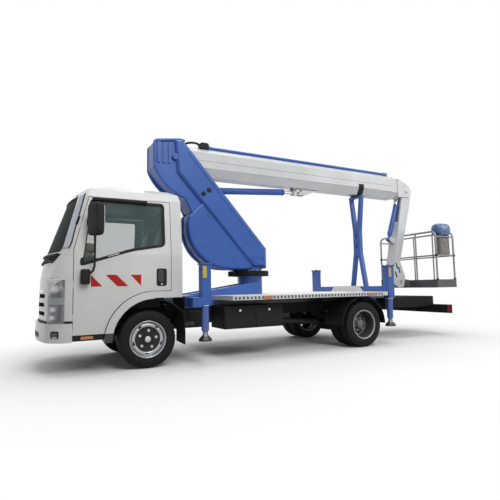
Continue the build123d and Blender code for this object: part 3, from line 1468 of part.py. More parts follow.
jib_pin_x = station(-JIB_PIN_BACK)
head_half = JIB_HALF_WIDTH + HEAD_CLEARANCE
jib_eye_x = station(-JIB_EYE_BACK)
tip_mouth = boom_mouth - 2 * BOOM_STAGE_STEP
flange_rear = tip_mouth - HEAD_FLANGE
head_outer = head_half + HEAD_PLATE
head_low = BOOM_BOTTOM_Z + STAGE_INSET + HEAD_FLANGE
with BuildPart() as boom_inner:
    add(boom_tubes[2])
    box_between(
        (flange_rear, tip_mouth),
        (-head_outer, head_outer),
        (head_low, BOOM_TOP_Z - STAGE_INSET),
    )
    for _, side in SIDES:
        with BuildSketch(side_plane(side * (head_half + HEAD_PLATE / 2))):
            with BuildLine():
                Polyline(
                    (flange_rear, head_low),
                    (flange_rear, BOOM_TOP_Z - STAGE_INSET),
                    (jib_pin_x - JIB_HEAD_RADIUS / 2, JIB_PIN_Z + JIB_HEAD_RADIUS),
                    (jib_pin_x - JIB_HEAD_RADIUS, JIB_PIN_Z),
                    (jib_pin_x - JIB_HEAD_RADIUS / 2, JIB_PIN_Z - JIB_HEAD_RADIUS),
                    close=True,
                )
            make_face()
        extrude(amount=HEAD_PLATE / 2, both=True)
        cheek = JIB_EYE_WIDTH / 2 + HEAD_CLEARANCE + HEAD_PLATE / 2
        with BuildSketch(side_plane(side * cheek)):
            with BuildLine():
                Polyline(
                    (flange_rear, JIB_EYE_Z + 3 * JIB_EYE_RADIUS),
                    (flange_rear, JIB_EYE_Z),
                    (jib_eye_x, JIB_EYE_Z - JIB_EYE_RADIUS),
                    (jib_eye_x - JIB_EYE_RADIUS, JIB_EYE_Z),
                    (jib_eye_x - JIB_EYE_RADIUS / 2, JIB_EYE_Z + JIB_EYE_RADIUS),
                    close=True,
                )
            make_face()
        extrude(amount=HEAD_PLATE / 2, both=True)
    with BuildSketch(Plane.XZ):
        with Locations((jib_pin_x, JIB_PIN_Z)):
            Circle(JIB_PIN_RADIUS)
    extrude(amount=head_outer + HEAD_FLANGE, both=True)
save(boom_inner, "boom_inner")

# Boom lift cylinder

lift_axis = Vector(rod_pin_x - lift_pin_x, 0, ROD_PIN_Z - LIFT_PIN_Z)
lift_length = lift_axis.length
lift_plane = Plane((lift_pin_x, 0, LIFT_PIN_Z), x_dir=(0, 1, 0), z_dir=lift_axis)


with BuildPart() as lift_barrel:
    with BuildSketch(Plane.XZ):
        with Locations((lift_pin_x, LIFT_PIN_Z)):
            Circle(EYE_RADIUS)
    extrude(amount=EYE_WIDTH / 2, both=True)
    with BuildSketch(lift_plane):
        Circle(EYE_WIDTH / 2)
    extrude(amount=2 * EYE_RADIUS)
    with BuildSketch(lift_plane.offset(BARREL_START)):
        Circle(LIFT_BARREL_RADIUS)
    extrude(amount=LIFT_BARREL_LENGTH)
    with BuildSketch(lift_plane.offset(BARREL_START + EYE_RADIUS)):
        Circle(LIFT_ROD_RADIUS + RUNNING_FIT)
    extrude(amount=LIFT_BARREL_LENGTH, mode=Mode.SUBTRACT)
    with BuildSketch(Plane.XZ):
        with Locations((lift_pin_x, LIFT_PIN_Z)):
            Circle(EYE_BORE + RUNNING_FIT)
    extrude(amount=EYE_WIDTH, both=True, mode=Mode.SUBTRACT)
save(lift_barrel, "lift_barrel")

with BuildPart() as lift_rod:
    with BuildSketch(lift_plane.offset(ROD_START)):
        Circle(LIFT_ROD_RADIUS)
    extrude(amount=lift_length - ROD_START)
    with BuildSketch(Plane.XZ):
        with Locations((rod_pin_x, ROD_PIN_Z)):
            Circle(EYE_RADIUS)
    extrude(amount=EYE_WIDTH / 2, both=True)
    with BuildSketch(Plane.XZ):
        with Locations((rod_pin_x, ROD_PIN_Z)):
            Circle(EYE_BORE)
    extrude(amount=EYE_WIDTH * 2, both=True, mode=Mode.SUBTRACT)
save(lift_rod, "lift_rod")

# Jib with its foot plate, the levelling drum and the jib cylinder

jib_foot_x = station(-JIB_FOOT_X_BACK)
jib_base_x = station(-JIB_BASE_BACK)


def jib_outline():
    """The jib seen from the side, hanging from its pin to its foot."""
    Polyline(
        (jib_pin_x + JIB_HEAD_RADIUS, JIB_PIN_Z),
        (jib_pin_x + JIB_HEAD_RADIUS, JIB_PIN_Z - JIB_HEAD_RADIUS),
        *[(jib_foot_x + ahead, JIB_FOOT_Z + rise) for ahead, rise in JIB_FOOT_ROWS],
        (jib_pin_x - JIB_HEAD_RADIUS, JIB_PIN_Z - JIB_HEAD_RADIUS),
        (jib_pin_x - JIB_HEAD_RADIUS, JIB_PIN_Z),
    )
    ThreePointArc(
        (jib_pin_x - JIB_HEAD_RADIUS, JIB_PIN_Z),
        (jib_pin_x, JIB_PIN_Z + JIB_HEAD_RADIUS),
        (jib_pin_x + JIB_HEAD_RADIUS, JIB_PIN_Z),
    )


with BuildPart() as jib:
    with BuildSketch(Plane.XZ):
        with BuildLine():
            jib_outline()
        make_face()
    extrude(amount=JIB_HALF_WIDTH, both=True)
    with BuildSketch(Plane.XZ):
        with BuildLine():
            jib_outline()
        make_face()
        offset(amount=-JIB_PLATE, kind=Kind.INTERSECTION)
    extrude(amount=JIB_HALF_WIDTH - JIB_PLATE, both=True, mode=Mode.SUBTRACT)
    with BuildSketch(Plane.XZ):
        with Locations((jib_foot_x, JIB_FOOT_Z + JIB_FOOT_OPEN)):
            Rectangle(BASKET_BACK, BASKET_BACK, align=(Align.CENTER, Align.MAX))
    extrude(amount=JIB_HALF_WIDTH - JIB_PLATE, both=True, mode=Mode.SUBTRACT)
    for _, side in SIDES:
        with BuildSketch(side_plane(side * (JIB_EYE_WIDTH / 2 + HEAD_CLEARANCE + JIB_PLATE / 2))):
            with BuildLine():
                Polyline(
                    (jib_base_x - JIB_EYE_RADIUS / 2, JIB_BASE_Z + JIB_EYE_RADIUS),
                    (jib_base_x + JIB_EYE_RADIUS, JIB_BASE_Z),
                    (jib_base_x, JIB_BASE_Z - JIB_EYE_RADIUS),
                    (jib_base_x - JIB_BRACKET_REACH, JIB_BASE_Z - 3 * JIB_EYE_RADIUS),
                    (jib_base_x - JIB_BRACKET_REACH, JIB_BASE_Z + JIB_EYE_RADIUS),
                    close=True,
                )
            make_face()
        extrude(amount=JIB_PLATE / 2, both=True)
    with BuildSketch(Plane.XZ):
        with Locations((jib_base_x, JIB_BASE_Z)):
            Circle(JIB_EYE_BORE)
    extrude(amount=JIB_EYE_WIDTH / 2 + HEAD_CLEARANCE + 2 * JIB_PLATE, both=True)
    with BuildSketch(Plane.XZ):
        with BuildLine():
            Polyline(
                (jib_pin_x - JIB_SLOT_BACK, JIB_PIN_Z + 2 * JIB_HEAD_RADIUS),
                (jib_pin_x - JIB_SLOT_BACK, JIB_PIN_Z - JIB_HEAD_RADIUS),
                (jib_base_x - JIB_SLOT_BACK, JIB_BASE_Z + JIB_SLOT_RISE),
                (jib_base_x + JIB_HEAD_RADIUS, JIB_PIN_Z + 2 * JIB_HEAD_RADIUS),
                close=True,
            )
        make_face()
    extrude(amount=JIB_SLOT_HALF, both=True, mode=Mode.SUBTRACT)
    with BuildSketch(Plane.XZ):
        for ahead, rise in FOOT_SLOTS:
            with Locations((jib_foot_x + ahead, JIB_FOOT_Z + rise)):
                SlotOverall(FOOT_SLOT_LENGTH, FOOT_SLOT_WIDTH, rotation=FOOT_SLOT_LEAN)
        with Locations((jib_pin_x, JIB_PIN_Z)):
            Circle(JIB_PIN_RADIUS + RUNNING_FIT)
        with Locations((jib_foot_x, JIB_FOOT_Z)):
            Circle(JIB_PIN_RADIUS + RUNNING_FIT)
    extrude(amount=2 * JIB_HALF_WIDTH, both=True, mode=Mode.SUBTRACT)
save(jib, "jib")

jib_line = Vector(jib_eye_x - jib_base_x, 0, JIB_EYE_Z - JIB_BASE_Z)
jib_line_length = jib_line.length
jib_line_plane = Plane((jib_base_x, 0, JIB_BASE_Z), x_dir=(0, 1, 0), z_dir=jib_line)

with BuildPart() as jib_barrel:
    with BuildSketch(Plane.XZ):
        with Locations((jib_base_x, JIB_BASE_Z)):
            Circle(JIB_EYE_RADIUS)
    extrude(amount=JIB_EYE_WIDTH / 2, both=True)
    with BuildSketch(jib_line_plane):
        Circle(JIB_EYE_WIDTH / 2)
    extrude(amount=JIB_ROD_START)
    with BuildSketch(jib_line_plane.offset(JIB_BARREL_START)):
        Circle(JIB_BARREL_RADIUS)
    extrude(amount=JIB_BARREL_LENGTH)
    with BuildSketch(jib_line_plane.offset(JIB_BORE_START)):
        Circle(JIB_ROD_RADIUS + RUNNING_FIT)
    extrude(amount=JIB_BARREL_LENGTH, mode=Mode.SUBTRACT)
    with BuildSketch(Plane.XZ):
        with Locations((jib_base_x, JIB_BASE_Z)):
            Circle(JIB_EYE_BORE + RUNNING_FIT)
    extrude(amount=JIB_EYE_WIDTH, both=True, mode=Mode.SUBTRACT)
save(jib_barrel, "jib_barrel")

with BuildPart() as jib_rod:
    with BuildSketch(jib_line_plane.offset(JIB_ROD_START)):
        Circle(JIB_ROD_RADIUS)
    extrude(amount=jib_line_length - JIB_ROD_START)
    with BuildSketch(Plane.XZ):
        with Locations((jib_eye_x, JIB_EYE_Z)):
            Circle(JIB_EYE_RADIUS)
    extrude(amount=JIB_EYE_WIDTH / 2, both=True)
    with BuildSketch(Plane.XZ):
        with Locations((jib_eye_x, JIB_EYE_Z)):
            Circle(JIB_EYE_BORE)
    extrude(amount=JIB_EYE_WIDTH, both=True, mode=Mode.SUBTRACT)
save(jib_rod, "jib_rod")

drum_half = CARRIER_HALF - SLIDE_FIT
with BuildPart() as level_drum:
    with BuildSketch(Plane.XZ):
        with Locations((jib_foot_x, JIB_FOOT_Z)):
            Circle(DRUM_RADIUS)
    extrude(amount=drum_half, both=True)
    with BuildSketch(Plane.XZ):
        with Locations((jib_foot_x, JIB_FOOT_Z)):
            Circle(JIB_PIN_RADIUS)
    extrude(amount=JIB_HALF_WIDTH + JIB_PLATE, both=True)
save(level_drum, "level_drum")

# Work basket

basket_front = station(-BASKET_BACK)
basket_rear = basket_front - BASKET_DEPTH
toe_top = BASKET_BOTTOM + TOE_HEIGHT
rail_xs = (basket_front - TUBE_RADIUS, basket_rear + TUBE_RADIUS)
rail_y = BASKET_HALF_WIDTH - TUBE_RADIUS
rail_z = BASKET_TOP - TUBE_RADIUS

with BuildPart() as basket_floor:
    box_between(
        (basket_rear, basket_front),
        (-BASKET_HALF_WIDTH, BASKET_HALF_WIDTH),
        (BASKET_BOTTOM, toe_top),
    )
    box_between(
        (basket_rear + TOE_WALL, basket_front - TOE_WALL),
        (-BASKET_HALF_WIDTH + TOE_WALL, BASKET_HALF_WIDTH - TOE_WALL),
        (BASKET_BOTTOM + FLOOR_THICKNESS, toe_top),
        mode=Mode.SUBTRACT,
    )
    for _, side in SIDES:
        with BuildSketch(side_plane(side * (CARRIER_HALF + JIB_PLATE / 2))):
            with BuildLine():
                Polyline(
                    (jib_foot_x, JIB_FOOT_Z + CARRIER_HEIGHT / 2),
                    (basket_front, toe_top),
                    (basket_front, BASKET_BOTTOM),
                    (jib_foot_x, JIB_FOOT_Z - CARRIER_HEIGHT / 2),
                    close=True,
                )
            make_face()
            with Locations((jib_foot_x, JIB_FOOT_Z)):
                Circle(CARRIER_HEIGHT / 2)
                Circle(JIB_PIN_RADIUS + RUNNING_FIT, mode=Mode.SUBTRACT)
        extrude(amount=JIB_PLATE / 2, both=True)
save(basket_floor, "basket_floor")

with BuildPart() as basket_frame:
    for x in rail_xs:
        with BuildSketch(Plane.XY.offset(toe_top)):
            with Locations((x, -rail_y), (x, rail_y)):
                Circle(TUBE_RADIUS)
        extrude(amount=rail_z - HOOP_CORNER - toe_top)
        with BuildSketch(Plane.XY.offset(toe_top)):
            with Locations((x, -POST_Y), (x, POST_Y)):
                Circle(POST_RADIUS)
        extrude(amount=rail_z - toe_top)
        with BuildSketch(Plane.XZ.offset(-HOOP_CORNER + rail_y)):
            with Locations((x, rail_z)):
                Circle(TUBE_RADIUS)
        extrude(amount=-2 * (rail_y - HOOP_CORNER))
        for _, side in SIDES:
            bend_y = side * (rail_y - HOOP_CORNER)
            with BuildSketch(Plane.XZ.offset(-bend_y)):
                with Locations((x, rail_z)):
                    Circle(TUBE_RADIUS)
            bend = Axis((x, bend_y, rail_z - HOOP_CORNER), (-side, 0, 0))
            revolve(axis=bend, revolution_arc=QUARTER)
        with BuildSketch(Plane.XZ.offset(rail_y)):
            with Locations((x, MID_RAIL_Z)):
                Circle(POST_RADIUS)
        extrude(amount=-2 * rail_y)
    for y in (-rail_y, rail_y):
        with BuildSketch(Plane.YZ.offset(rail_xs[1])):
            with Locations((y, MID_RAIL_Z), (y, rail_z - HOOP_CORNER)):
                Circle(POST_RADIUS)
        extrude(amount=rail_xs[0] - rail_xs[1])
save(basket_frame, "basket_frame")

control_y = rail_y - POST_RADIUS - SLIDE_FIT
control_x = (basket_front + basket_rear) / 2
with BuildPart() as control_box:
    box_between(
        (control_x - CONTROL_WIDTH / 2, control_x + CONTROL_WIDTH / 2),
        (control_y - CONTROL_DEPTH, control_y),
        (MID_RAIL_Z + POST_RADIUS, MID_RAIL_Z + POST_RADIUS + CONTROL_HEIGHT),
    )
save(control_box, "control_box")

with BuildPart() as control_hood:
    hood_bottom = MID_RAIL_Z + POST_RADIUS + CONTROL_HEIGHT
    with BuildSketch(Plane.XZ.offset(-control_y)):
        with BuildLine():
            FilletPolyline(
                (control_x - CONTROL_WIDTH / 2 - HOOD_LIP, hood_bottom),
                (control_x - CONTROL_WIDTH / 2 - HOOD_LIP, hood_bottom + HOOD_HEIGHT),
                (control_x + CONTROL_WIDTH / 2 + HOOD_LIP, hood_bottom + HOOD_HEIGHT),
                (control_x + CONTROL_WIDTH / 2 + HOOD_LIP, hood_bottom),
                radius=HOOD_CORNER,
            )
            Line(
                (control_x + CONTROL_WIDTH / 2 + HOOD_LIP, hood_bottom),
                (control_x - CONTROL_WIDTH / 2 - HOOD_LIP, hood_bottom),
            )
        make_face()
    extrude(amount=CONTROL_DEPTH + HOOD_LIP)
save(control_hood, "control_hood")
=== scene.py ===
import bmesh
import bpy
import fnmatch
import math
import numpy as np
from mathutils import Matrix, Vector
from mathutils.bvhtree import BVHTree


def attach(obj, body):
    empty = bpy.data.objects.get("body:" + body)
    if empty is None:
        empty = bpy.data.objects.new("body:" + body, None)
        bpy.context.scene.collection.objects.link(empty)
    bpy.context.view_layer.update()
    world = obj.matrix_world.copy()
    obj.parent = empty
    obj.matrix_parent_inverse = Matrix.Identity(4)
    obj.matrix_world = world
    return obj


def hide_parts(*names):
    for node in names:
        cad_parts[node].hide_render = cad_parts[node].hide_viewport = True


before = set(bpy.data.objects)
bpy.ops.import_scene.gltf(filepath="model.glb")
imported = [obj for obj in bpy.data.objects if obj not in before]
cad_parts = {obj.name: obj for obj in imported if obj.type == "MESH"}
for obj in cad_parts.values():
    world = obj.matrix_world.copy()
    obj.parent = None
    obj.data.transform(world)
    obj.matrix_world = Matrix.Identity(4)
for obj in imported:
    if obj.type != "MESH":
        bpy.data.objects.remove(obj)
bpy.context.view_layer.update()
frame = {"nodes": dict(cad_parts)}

# Places in the truck's frame, in metres: X forward, Y to the left, Z up from the road
FRONT_X = 2.33
REAR_X = -0.97
AXLE_Z = 0.345
SIDES = (("left", 1), ("right", -1))
TURN = 2 * math.pi


def at(ahead):
    """A place along the truck, from its distance ahead of the front axle."""
    return FRONT_X + ahead


def placed(spots, side=1):
    """Places given ahead of the front axle, across from the middle towards one side, and up."""
    return [(at(x), side * y, z) for x, y, z in spots]


# Finishes

DUST = (0.24, 0.23, 0.21)
EDGE_RADIUS = 0.005
FINISHES = {}


class Val:
    """A value in a node tree; arithmetic on it adds the Math nodes that work it out."""

    def __init__(self, owner, socket):
        self.owner, self.socket = owner, socket

    def math(self, operation, *others):
        return self.owner.math(operation, self, *others)

    def __add__(self, other):
        return self.math("ADD", other)

    def __sub__(self, other):
        return self.math("SUBTRACT", other)

    def __rsub__(self, other):
        return self.owner.math("SUBTRACT", other, self)

    def __mul__(self, other):
        return self.math("MULTIPLY", other)

    __radd__, __rmul__ = __add__, __mul__

    def step(self, low, high):
        """A smooth rise from 0 at low to 1 at high."""
        settings = {"interpolation_type": "SMOOTHSTEP"}
        return self.owner.node("ShaderNodeMapRange", settings, {0: self, 1: low, 2: high, 3: 0.0, 4: 1.0})


class Tree:
    """The node tree of a material or a world."""

    def __init__(self, owner):
        owner.use_nodes = True
        self.tree = owner.node_tree

    def node(self, kind, settings=None, inputs=None, output=0):
        """Adds any node: its settings first, then the values or links of its sockets."""
        made = self.tree.nodes.new(kind)
        for key, value in (settings or {}).items():
            setattr(made, key, value)
        self.feed(made, inputs or {})
        return Val(self, made.outputs[output])

    def feed(self, made, inputs):
        for key, value in inputs.items():
            socket = made.inputs[key]
            if isinstance(value, Val):
                self.tree.links.new(value.socket, socket)
            else:
                socket.default_value = value

    def math(self, operation, *terms):
        return self.node("ShaderNodeMath", {"operation": operation}, dict(enumerate(terms)))

    def seen(self):
        """1 on rays that make the picture: from the camera, off glossy faces and through glass."""
        rays = self.node("ShaderNodeLightPath").socket.node.outputs
        eye, glossy, through = (Val(self, rays[f"Is {kind} Ray"]) for kind in ("Camera", "Glossy", "Transmission"))
        return eye.math("MAXIMUM", glossy).math("MAXIMUM", through)


class Finish(Tree):
    """A procedural material built round one Principled shader, found again by its name."""

    def __init__(self, name, **fixed):
        self.material = bpy.data.materials.new(name)
        super().__init__(self.material)
        self.shader = self.tree.nodes["Principled BSDF"]
        self.set(**fixed)
        FINISHES[name] = self

    def set(self, **inputs):
        self.feed(self.shader, {key.replace("_", " "): value for key, value in inputs.items()})

    def place(self, scale=(1, 1, 1)):
        """Object coordinates, scaled by a Mapping node."""
        spot = self.node("ShaderNodeTexCoord", output=3)
        return self.node("ShaderNodeMapping", {}, {"Vector": spot, "Scale": scale})

    def axes(self, scale=1.0):
        """The three numbers of a place, scaled."""
        split = self.node("ShaderNodeSeparateXYZ", {}, {0: self.place((scale, scale, scale))})
        return [Val(self, output) for output in split.socket.node.outputs]

    def noise(self, spot, scale, detail=4.0, rough=0.55):
        inputs = {"Vector": spot, "Scale": scale, "Detail": detail, "Roughness": rough}
        return self.node("ShaderNodeTexNoise", {}, inputs)

    def mix(self, share, first, second):
        """A colour between two others."""
        first, second = [c if isinstance(c, Val) else (*c, 1.0) for c in (first, second)]
        return self.node("ShaderNodeMix", {"data_type": "RGBA"}, {0: share, 6: first, 7: second}, 2)

    def painted(self):
        """What feeds the base colour so far."""
        return Val(self, self.shader.inputs["Base Color"].links[0].from_socket)

    def bump(self, height, distance, strength):
        edge = self.node("ShaderNodeBevel", {"samples": 4}, {"Radius": EDGE_RADIUS})
        inputs = {"Height": height, "Distance": distance, "Strength": strength, "Normal": edge}
        self.set(Normal=self.node("ShaderNodeBump", {}, inputs))


def tone(colour, gain, lift=0.0):
    """A colour made lighter or darker."""
    return tuple(min(1.0, c * gain + lift) for c in colour)


def paint(name, colour, rough=0.32, dusty=0.25, dust_line=1.0, coat=0.4, shine=0.5):
    """Sprayed paint: a slow drift of tone, fine orange peel, and road dust that thickens downwards."""
    made = Finish(name, Coat_Weight=coat, Coat_Roughness=0.08, Specular_IOR_Level=shine)
    spot = made.place()
    drift = made.noise(spot, 2.3)
    grain = made.noise(spot, 38.0, 3.0)
    shade = made.mix(drift.step(0.3, 0.75), tone(colour, 0.93), tone(colour, 1.04))
    low = 1.0 - made.axes()[2].step(0.25, dust_line)
    dust = low * (grain * 0.6 + drift * 0.5).step(0.35, 0.75) * dusty
    made.set(Base_Color=made.mix(dust, shade, DUST), Roughness=rough + grain * 0.08 + dust * 0.4)
    made.bump(made.noise(spot, 420.0, 2.0), 0.0006, 0.25)
    return made


def beam_finish(name, colour):
    """Blue paint, with painted shade: black on the beams that lie under the deck, where the deck shades them."""
    made = paint(name, colour, rough=0.3, dusty=0.12, coat=0.25, shine=0.4)
    along, _, up = made.axes()
    # painted shade: black where the beams lie in the deck's shadow
    under = along.step(-1.345, -1.335) * (1.0 - along.step(1.23, 1.24)) * (1.0 - up.step(0.78, 0.784))
    made.set(Base_Color=made.mix(under, made.painted(), (0.008, 0.009, 0.013)))


def cab_finish(name, colour, lining, middle):
    """Cab paint outside, with painted shade: every face that looks towards the cab's middle is dark, standing for the
    shade inside the cab; a black lower edge.
    """
    made = paint(name, colour, dust_line=1.2)
    out = made.node("ShaderNodeVectorMath", {"operation": "SUBTRACT"}, {0: made.place(), 1: middle})
    facing = made.node("ShaderNodeNewGeometry", output=1)
    outward = made.node("ShaderNodeVectorMath", {"operation": "DOT_PRODUCT"}, {0: out, 1: facing}, 1)
    # painted shade: faces that look inwards take the dark colour
    shell = made.mix(outward.math("GREATER_THAN", 0.0), lining, made.painted())
    above = made.axes()[2].step(0.449, 0.453)
    made.set(Base_Color=made.mix(above, (0.01, 0.01, 0.011), shell))


def leg_paint(name, colour):
    """A jack leg: blue above, a bright ball below it and a black foot at the bottom."""
    made = paint(name, colour, rough=0.3, dusty=0.2)
    up = made.axes()[2]
    above, ball = up.step(0.405, 0.409), up.step(0.35, 0.356)
    lower = made.mix(ball, (0.012, 0.012, 0.013), (0.22, 0.22, 0.23))
    made.set(Base_Color=made.mix(above, lower, made.painted()), Metallic=ball * (1.0 - above))


def checker(name, colour):
    """Painted checker plate: short bars laid crosswise in alternate cells stand out of the sheet."""
    made = paint(name, colour, rough=0.45, dusty=0.45, coat=0.0)
    x, y, _ = made.axes(28.0)
    cells = (x + y, x - y)
    flip = (cells[0].math("FLOOR") + cells[1].math("FLOOR")).math("PINGPONG", 1.0)
    first, second = ((value.math("FRACT") - 0.5).math("ABSOLUTE") for value in cells)
    one = (first * 2.2 + second * 6.0).step(1.3, 0.9)
    other = (first * 6.0 + second * 2.2).step(1.3, 0.9)
    made.bump(one * flip + other * (1.0 - flip), 0.002, 0.6)


def bare_metal(name, colour, rough=0.25, along=(1, 30, 30), metallic=1.0):
    """Drawn or brushed metal: fine streaks along one axis, stained here and there."""
    made = Finish(name, Metallic=metallic)
    streak = made.noise(made.place(along), 60.0, rough=0.7)
    stain = made.noise(made.place(), 9.0).step(0.45, 0.8)
    shade = made.mix(stain * 0.6, colour, tone(colour, 0.72))
    made.set(Base_Color=shade, Roughness=rough + streak * 0.2 + stain * 0.12)
    made.bump(streak, 0.0004, 0.3)


def moulded(name, colour, shine=0.5):
    """Moulded plastic with a fine leather grain and faded patches."""
    made = Finish(name, Specular_IOR_Level=shine)
    spot = made.place()
    fade = made.noise(spot, 6.0).step(0.35, 0.8)
    pits = made.node("ShaderNodeTexVoronoi", {}, {"Vector": spot, "Scale": 260.0})
    made.set(Base_Color=made.mix(fade * 0.5, colour, tone(colour, 1.5, 0.006)), Roughness=0.55 + fade * 0.12)
    made.bump(pits, 0.0005, 0.35)


def rubber(name):
    """Tyre rubber: near black, dusty in patches, finely pitted."""
    made = Finish(name, Specular_IOR_Level=0.18)
    spot = made.place()
    film = made.noise(spot, 11.0, 5.0).step(0.4, 0.85)
    shade = made.mix(film * 0.35, (0.008, 0.008, 0.0085), (0.032, 0.031, 0.03))
    made.set(Base_Color=shade, Roughness=0.62 + film * 0.2)
    made.bump(made.noise(spot, 240.0, 3.0), 0.0006, 0.4)


def pane(name, tint, alpha, shine, coat=0.0):
    """Window glass: dark tinted and thin, with a faint film of dirt in patches; a nearly opaque pane's dark colour is
    partly painted shade for what lies behind it.
    """
    made = Finish(name, Alpha=alpha, Specular_IOR_Level=shine, Coat_Weight=coat)
    film = made.noise(made.place(), 5.0).step(0.4, 0.9)
    made.set(Base_Color=made.mix(film, tint, tone(tint, 1.0, 0.02)), Roughness=0.03 + film * 0.04)


def glow_lens(name, colour):
    """A coloured lamp lens with fine moulded ridges."""
    made = Finish(name, Coat_Weight=0.6, Coat_Roughness=0.05)
    inputs = {"Vector": made.place(), "Scale": 140.0}
    cell = made.node("ShaderNodeTexVoronoi", {"distance": "CHEBYCHEV"}, inputs)
    made.set(Base_Color=made.mix(cell, colour, tone(colour, 0.6)), Roughness=0.18 + cell * 0.1)
    made.bump(cell, 0.001, 0.5)


def lamp_finish(name):
    """A clear headlamp cover over bowls, with painted light: a bright reflection painted in each bowl, fading from
    its middle, and stripes of painted light and shade along the fine upright flutes; two parts with a grey bar
    between.
    """
    made = Finish(name, Coat_Weight=1.0, Coat_Roughness=0.03)
    x, y, up = made.axes()
    across = y.math("ABSOLUTE")
    bar = up.step(0.794, 0.799) * (1.0 - up.step(0.866, 0.871))
    flute = (y * 260.0 + x * 200.0).math("SINE")
    # painted light and shade: the colour turns lighter and darker along each flute
    painted_flute_light = flute * 0.5 + 0.5
    bowl = made.mix(painted_flute_light, (0.045, 0.05, 0.056), (0.17, 0.18, 0.19))
    for height, middle, radius in ((0.97, 0.786, 0.066), (0.742, 0.776, 0.044), (0.652, 0.772, 0.042)):
        rise, aside = up - height, across - middle
        distance = (rise * rise + aside * aside).math("SQRT")
        # painted reflection: a bright spot in each bowl, brightest at its middle
        glow = (1.0 - distance.step(radius * 0.15, radius)) * (0.65 + painted_flute_light * 0.35)
        bowl = made.mix(glow, bowl, (0.74, 0.76, 0.79))
    shade = made.mix(bar, bowl, (0.24, 0.26, 0.28))
    made.set(Base_Color=shade, Metallic=0.4 * (1.0 - bar), Roughness=0.12 + bar * 0.3)
    made.bump(flute, 0.0012, 0.35)


def toe_finish(name):
    """Ribbed dark boards: level ribs every 15 mm, scuffed pale along their crests."""
    made = Finish(name)
    rib = (made.axes()[2] * 420.0).math("SINE")
    scuff = made.noise(made.place(), 14.0).step(0.45, 0.75) * rib.step(0.2, 0.9)
    shade = made.mix(scuff * 0.6, (0.085, 0.085, 0.089), (0.2, 0.2, 0.198))
    made.set(Base_Color=shade, Roughness=0.5 + scuff * 0.2)
    made.bump(rib, 0.002, 0.6)


def cloth(name, colour, coat=0.0):
    """Coated woven cloth: a fine square weave under a satin skin, paler in worn patches."""
    made = Finish(name, Sheen_Weight=0.1, Coat_Weight=coat, Coat_Roughness=0.14)
    x, y, up = made.axes(1800.0)
    weave = (x + y).math("SINE") * up.math("SINE")
    worn = made.noise(made.place(), 18.0).step(0.35, 0.8)
    made.set(Base_Color=made.mix(worn * 0.5, colour, tone(colour, 1.35)), Roughness=0.42 + worn * 0.15)
    made.bump(weave, 0.0004, 0.4)


CAB_WHITE = (0.7, 0.7, 0.69)
BLUE = (0.034, 0.112, 0.42)

paint("cab_paint", CAB_WHITE, dust_line=1.2)
paint("blue_paint", BLUE, rough=0.36, dusty=0.12, coat=0.12, shine=0.4)
paint("boom_paint", (0.66, 0.67, 0.68), rough=0.34, dusty=0.1)
paint("chassis_black", (0.006, 0.006, 0.0065), rough=0.55, dusty=0.06, coat=0.0, shine=0.15)
paint("rim_silver", (0.5, 0.51, 0.52), rough=0.3, dusty=0.4, dust_line=0.8)
# painted shade: darker copies of the rim's silver for the rear rim's disc and hub, and darker still for its well
paint("rim_shade", (0.11, 0.11, 0.115), rough=0.4, dusty=0.2, dust_line=0.8)
paint("rim_well_painted_shade", (0.03, 0.03, 0.032), rough=0.5, dusty=0.1, coat=0.0, shine=0.2)
paint("hub_dark", (0.008, 0.008, 0.0085), rough=0.4, dusty=0.04, coat=0.1, shine=0.25)
paint("red_film", (0.46, 0.012, 0.008), rough=0.4, dusty=0.05, coat=0.0, shine=0.3)
paint("yellow_film", (0.62, 0.46, 0.03), rough=0.4, dusty=0.15, coat=0.1)
paint("gloss_black", (0.01, 0.01, 0.011), rough=0.2, dusty=0.1)
# painted reflection: pale blue paint stands for the bright reflection along the windscreen's wrapped edges
paint("screen_edge_painted_reflection", (0.52, 0.58, 0.68), rough=0.12, dusty=0.0)
# the dark colour is painted shade for the cab's inward faces
cab_finish("cab_shell", CAB_WHITE, (0.045, 0.047, 0.05), (2.62, 0.0, 1.45))
beam_finish("beam_paint_and_painted_shade", BLUE)
leg_paint("leg_blue", BLUE)
checker("deck_paint", (0.8, 0.8, 0.8))
moulded("black_plastic", (0.008, 0.008, 0.0085), 0.22)
moulded("cowl_black", (0.008, 0.008, 0.009), 0.04)
moulded("slot_shade", (0.11, 0.11, 0.12), 0.3)
moulded("grey_plastic", (0.2, 0.19, 0.18))
moulded("trim_beige", (0.4, 0.33, 0.22))
cloth("seat_cloth", (0.05, 0.05, 0.055))
cloth("cover_cloth", (0.02, 0.088, 0.27), 1.0)
bare_metal("bright_rod", (0.75, 0.76, 0.78), 0.1)
bare_metal("steel", (0.5, 0.51, 0.53), 0.3)
bare_metal("galvanised", (0.26, 0.26, 0.27), 0.34)
bare_metal("cast_metal", (0.1, 0.1, 0.1), 0.55, (8, 8, 8))
bare_metal("rim_bright", (0.4, 0.41, 0.42), 0.18, (6, 6, 6), 0.85)
bare_metal("mirror_glass", (0.82, 0.84, 0.85), 0.03, (1, 1, 1))
bare_metal("lamp_bowl", (0.3, 0.31, 0.33), 0.08, (1, 1, 1), 0.9)
glow_lens("amber_lens", (0.7, 0.22, 0.02))
glow_lens("red_lens", (0.5, 0.03, 0.02))
rubber("tyre_black")
toe_finish("toe_black")
lamp_finish("lamp_cover")
pane("side_glass", (0.17, 0.26, 0.26), 0.21, 0.4)
# the windscreen is nearly opaque and dark: partly a real tint, partly painted shade for the cab behind it
pane("screen_glass", (0.026, 0.04, 0.05), 0.92, 0.0, 0.12)

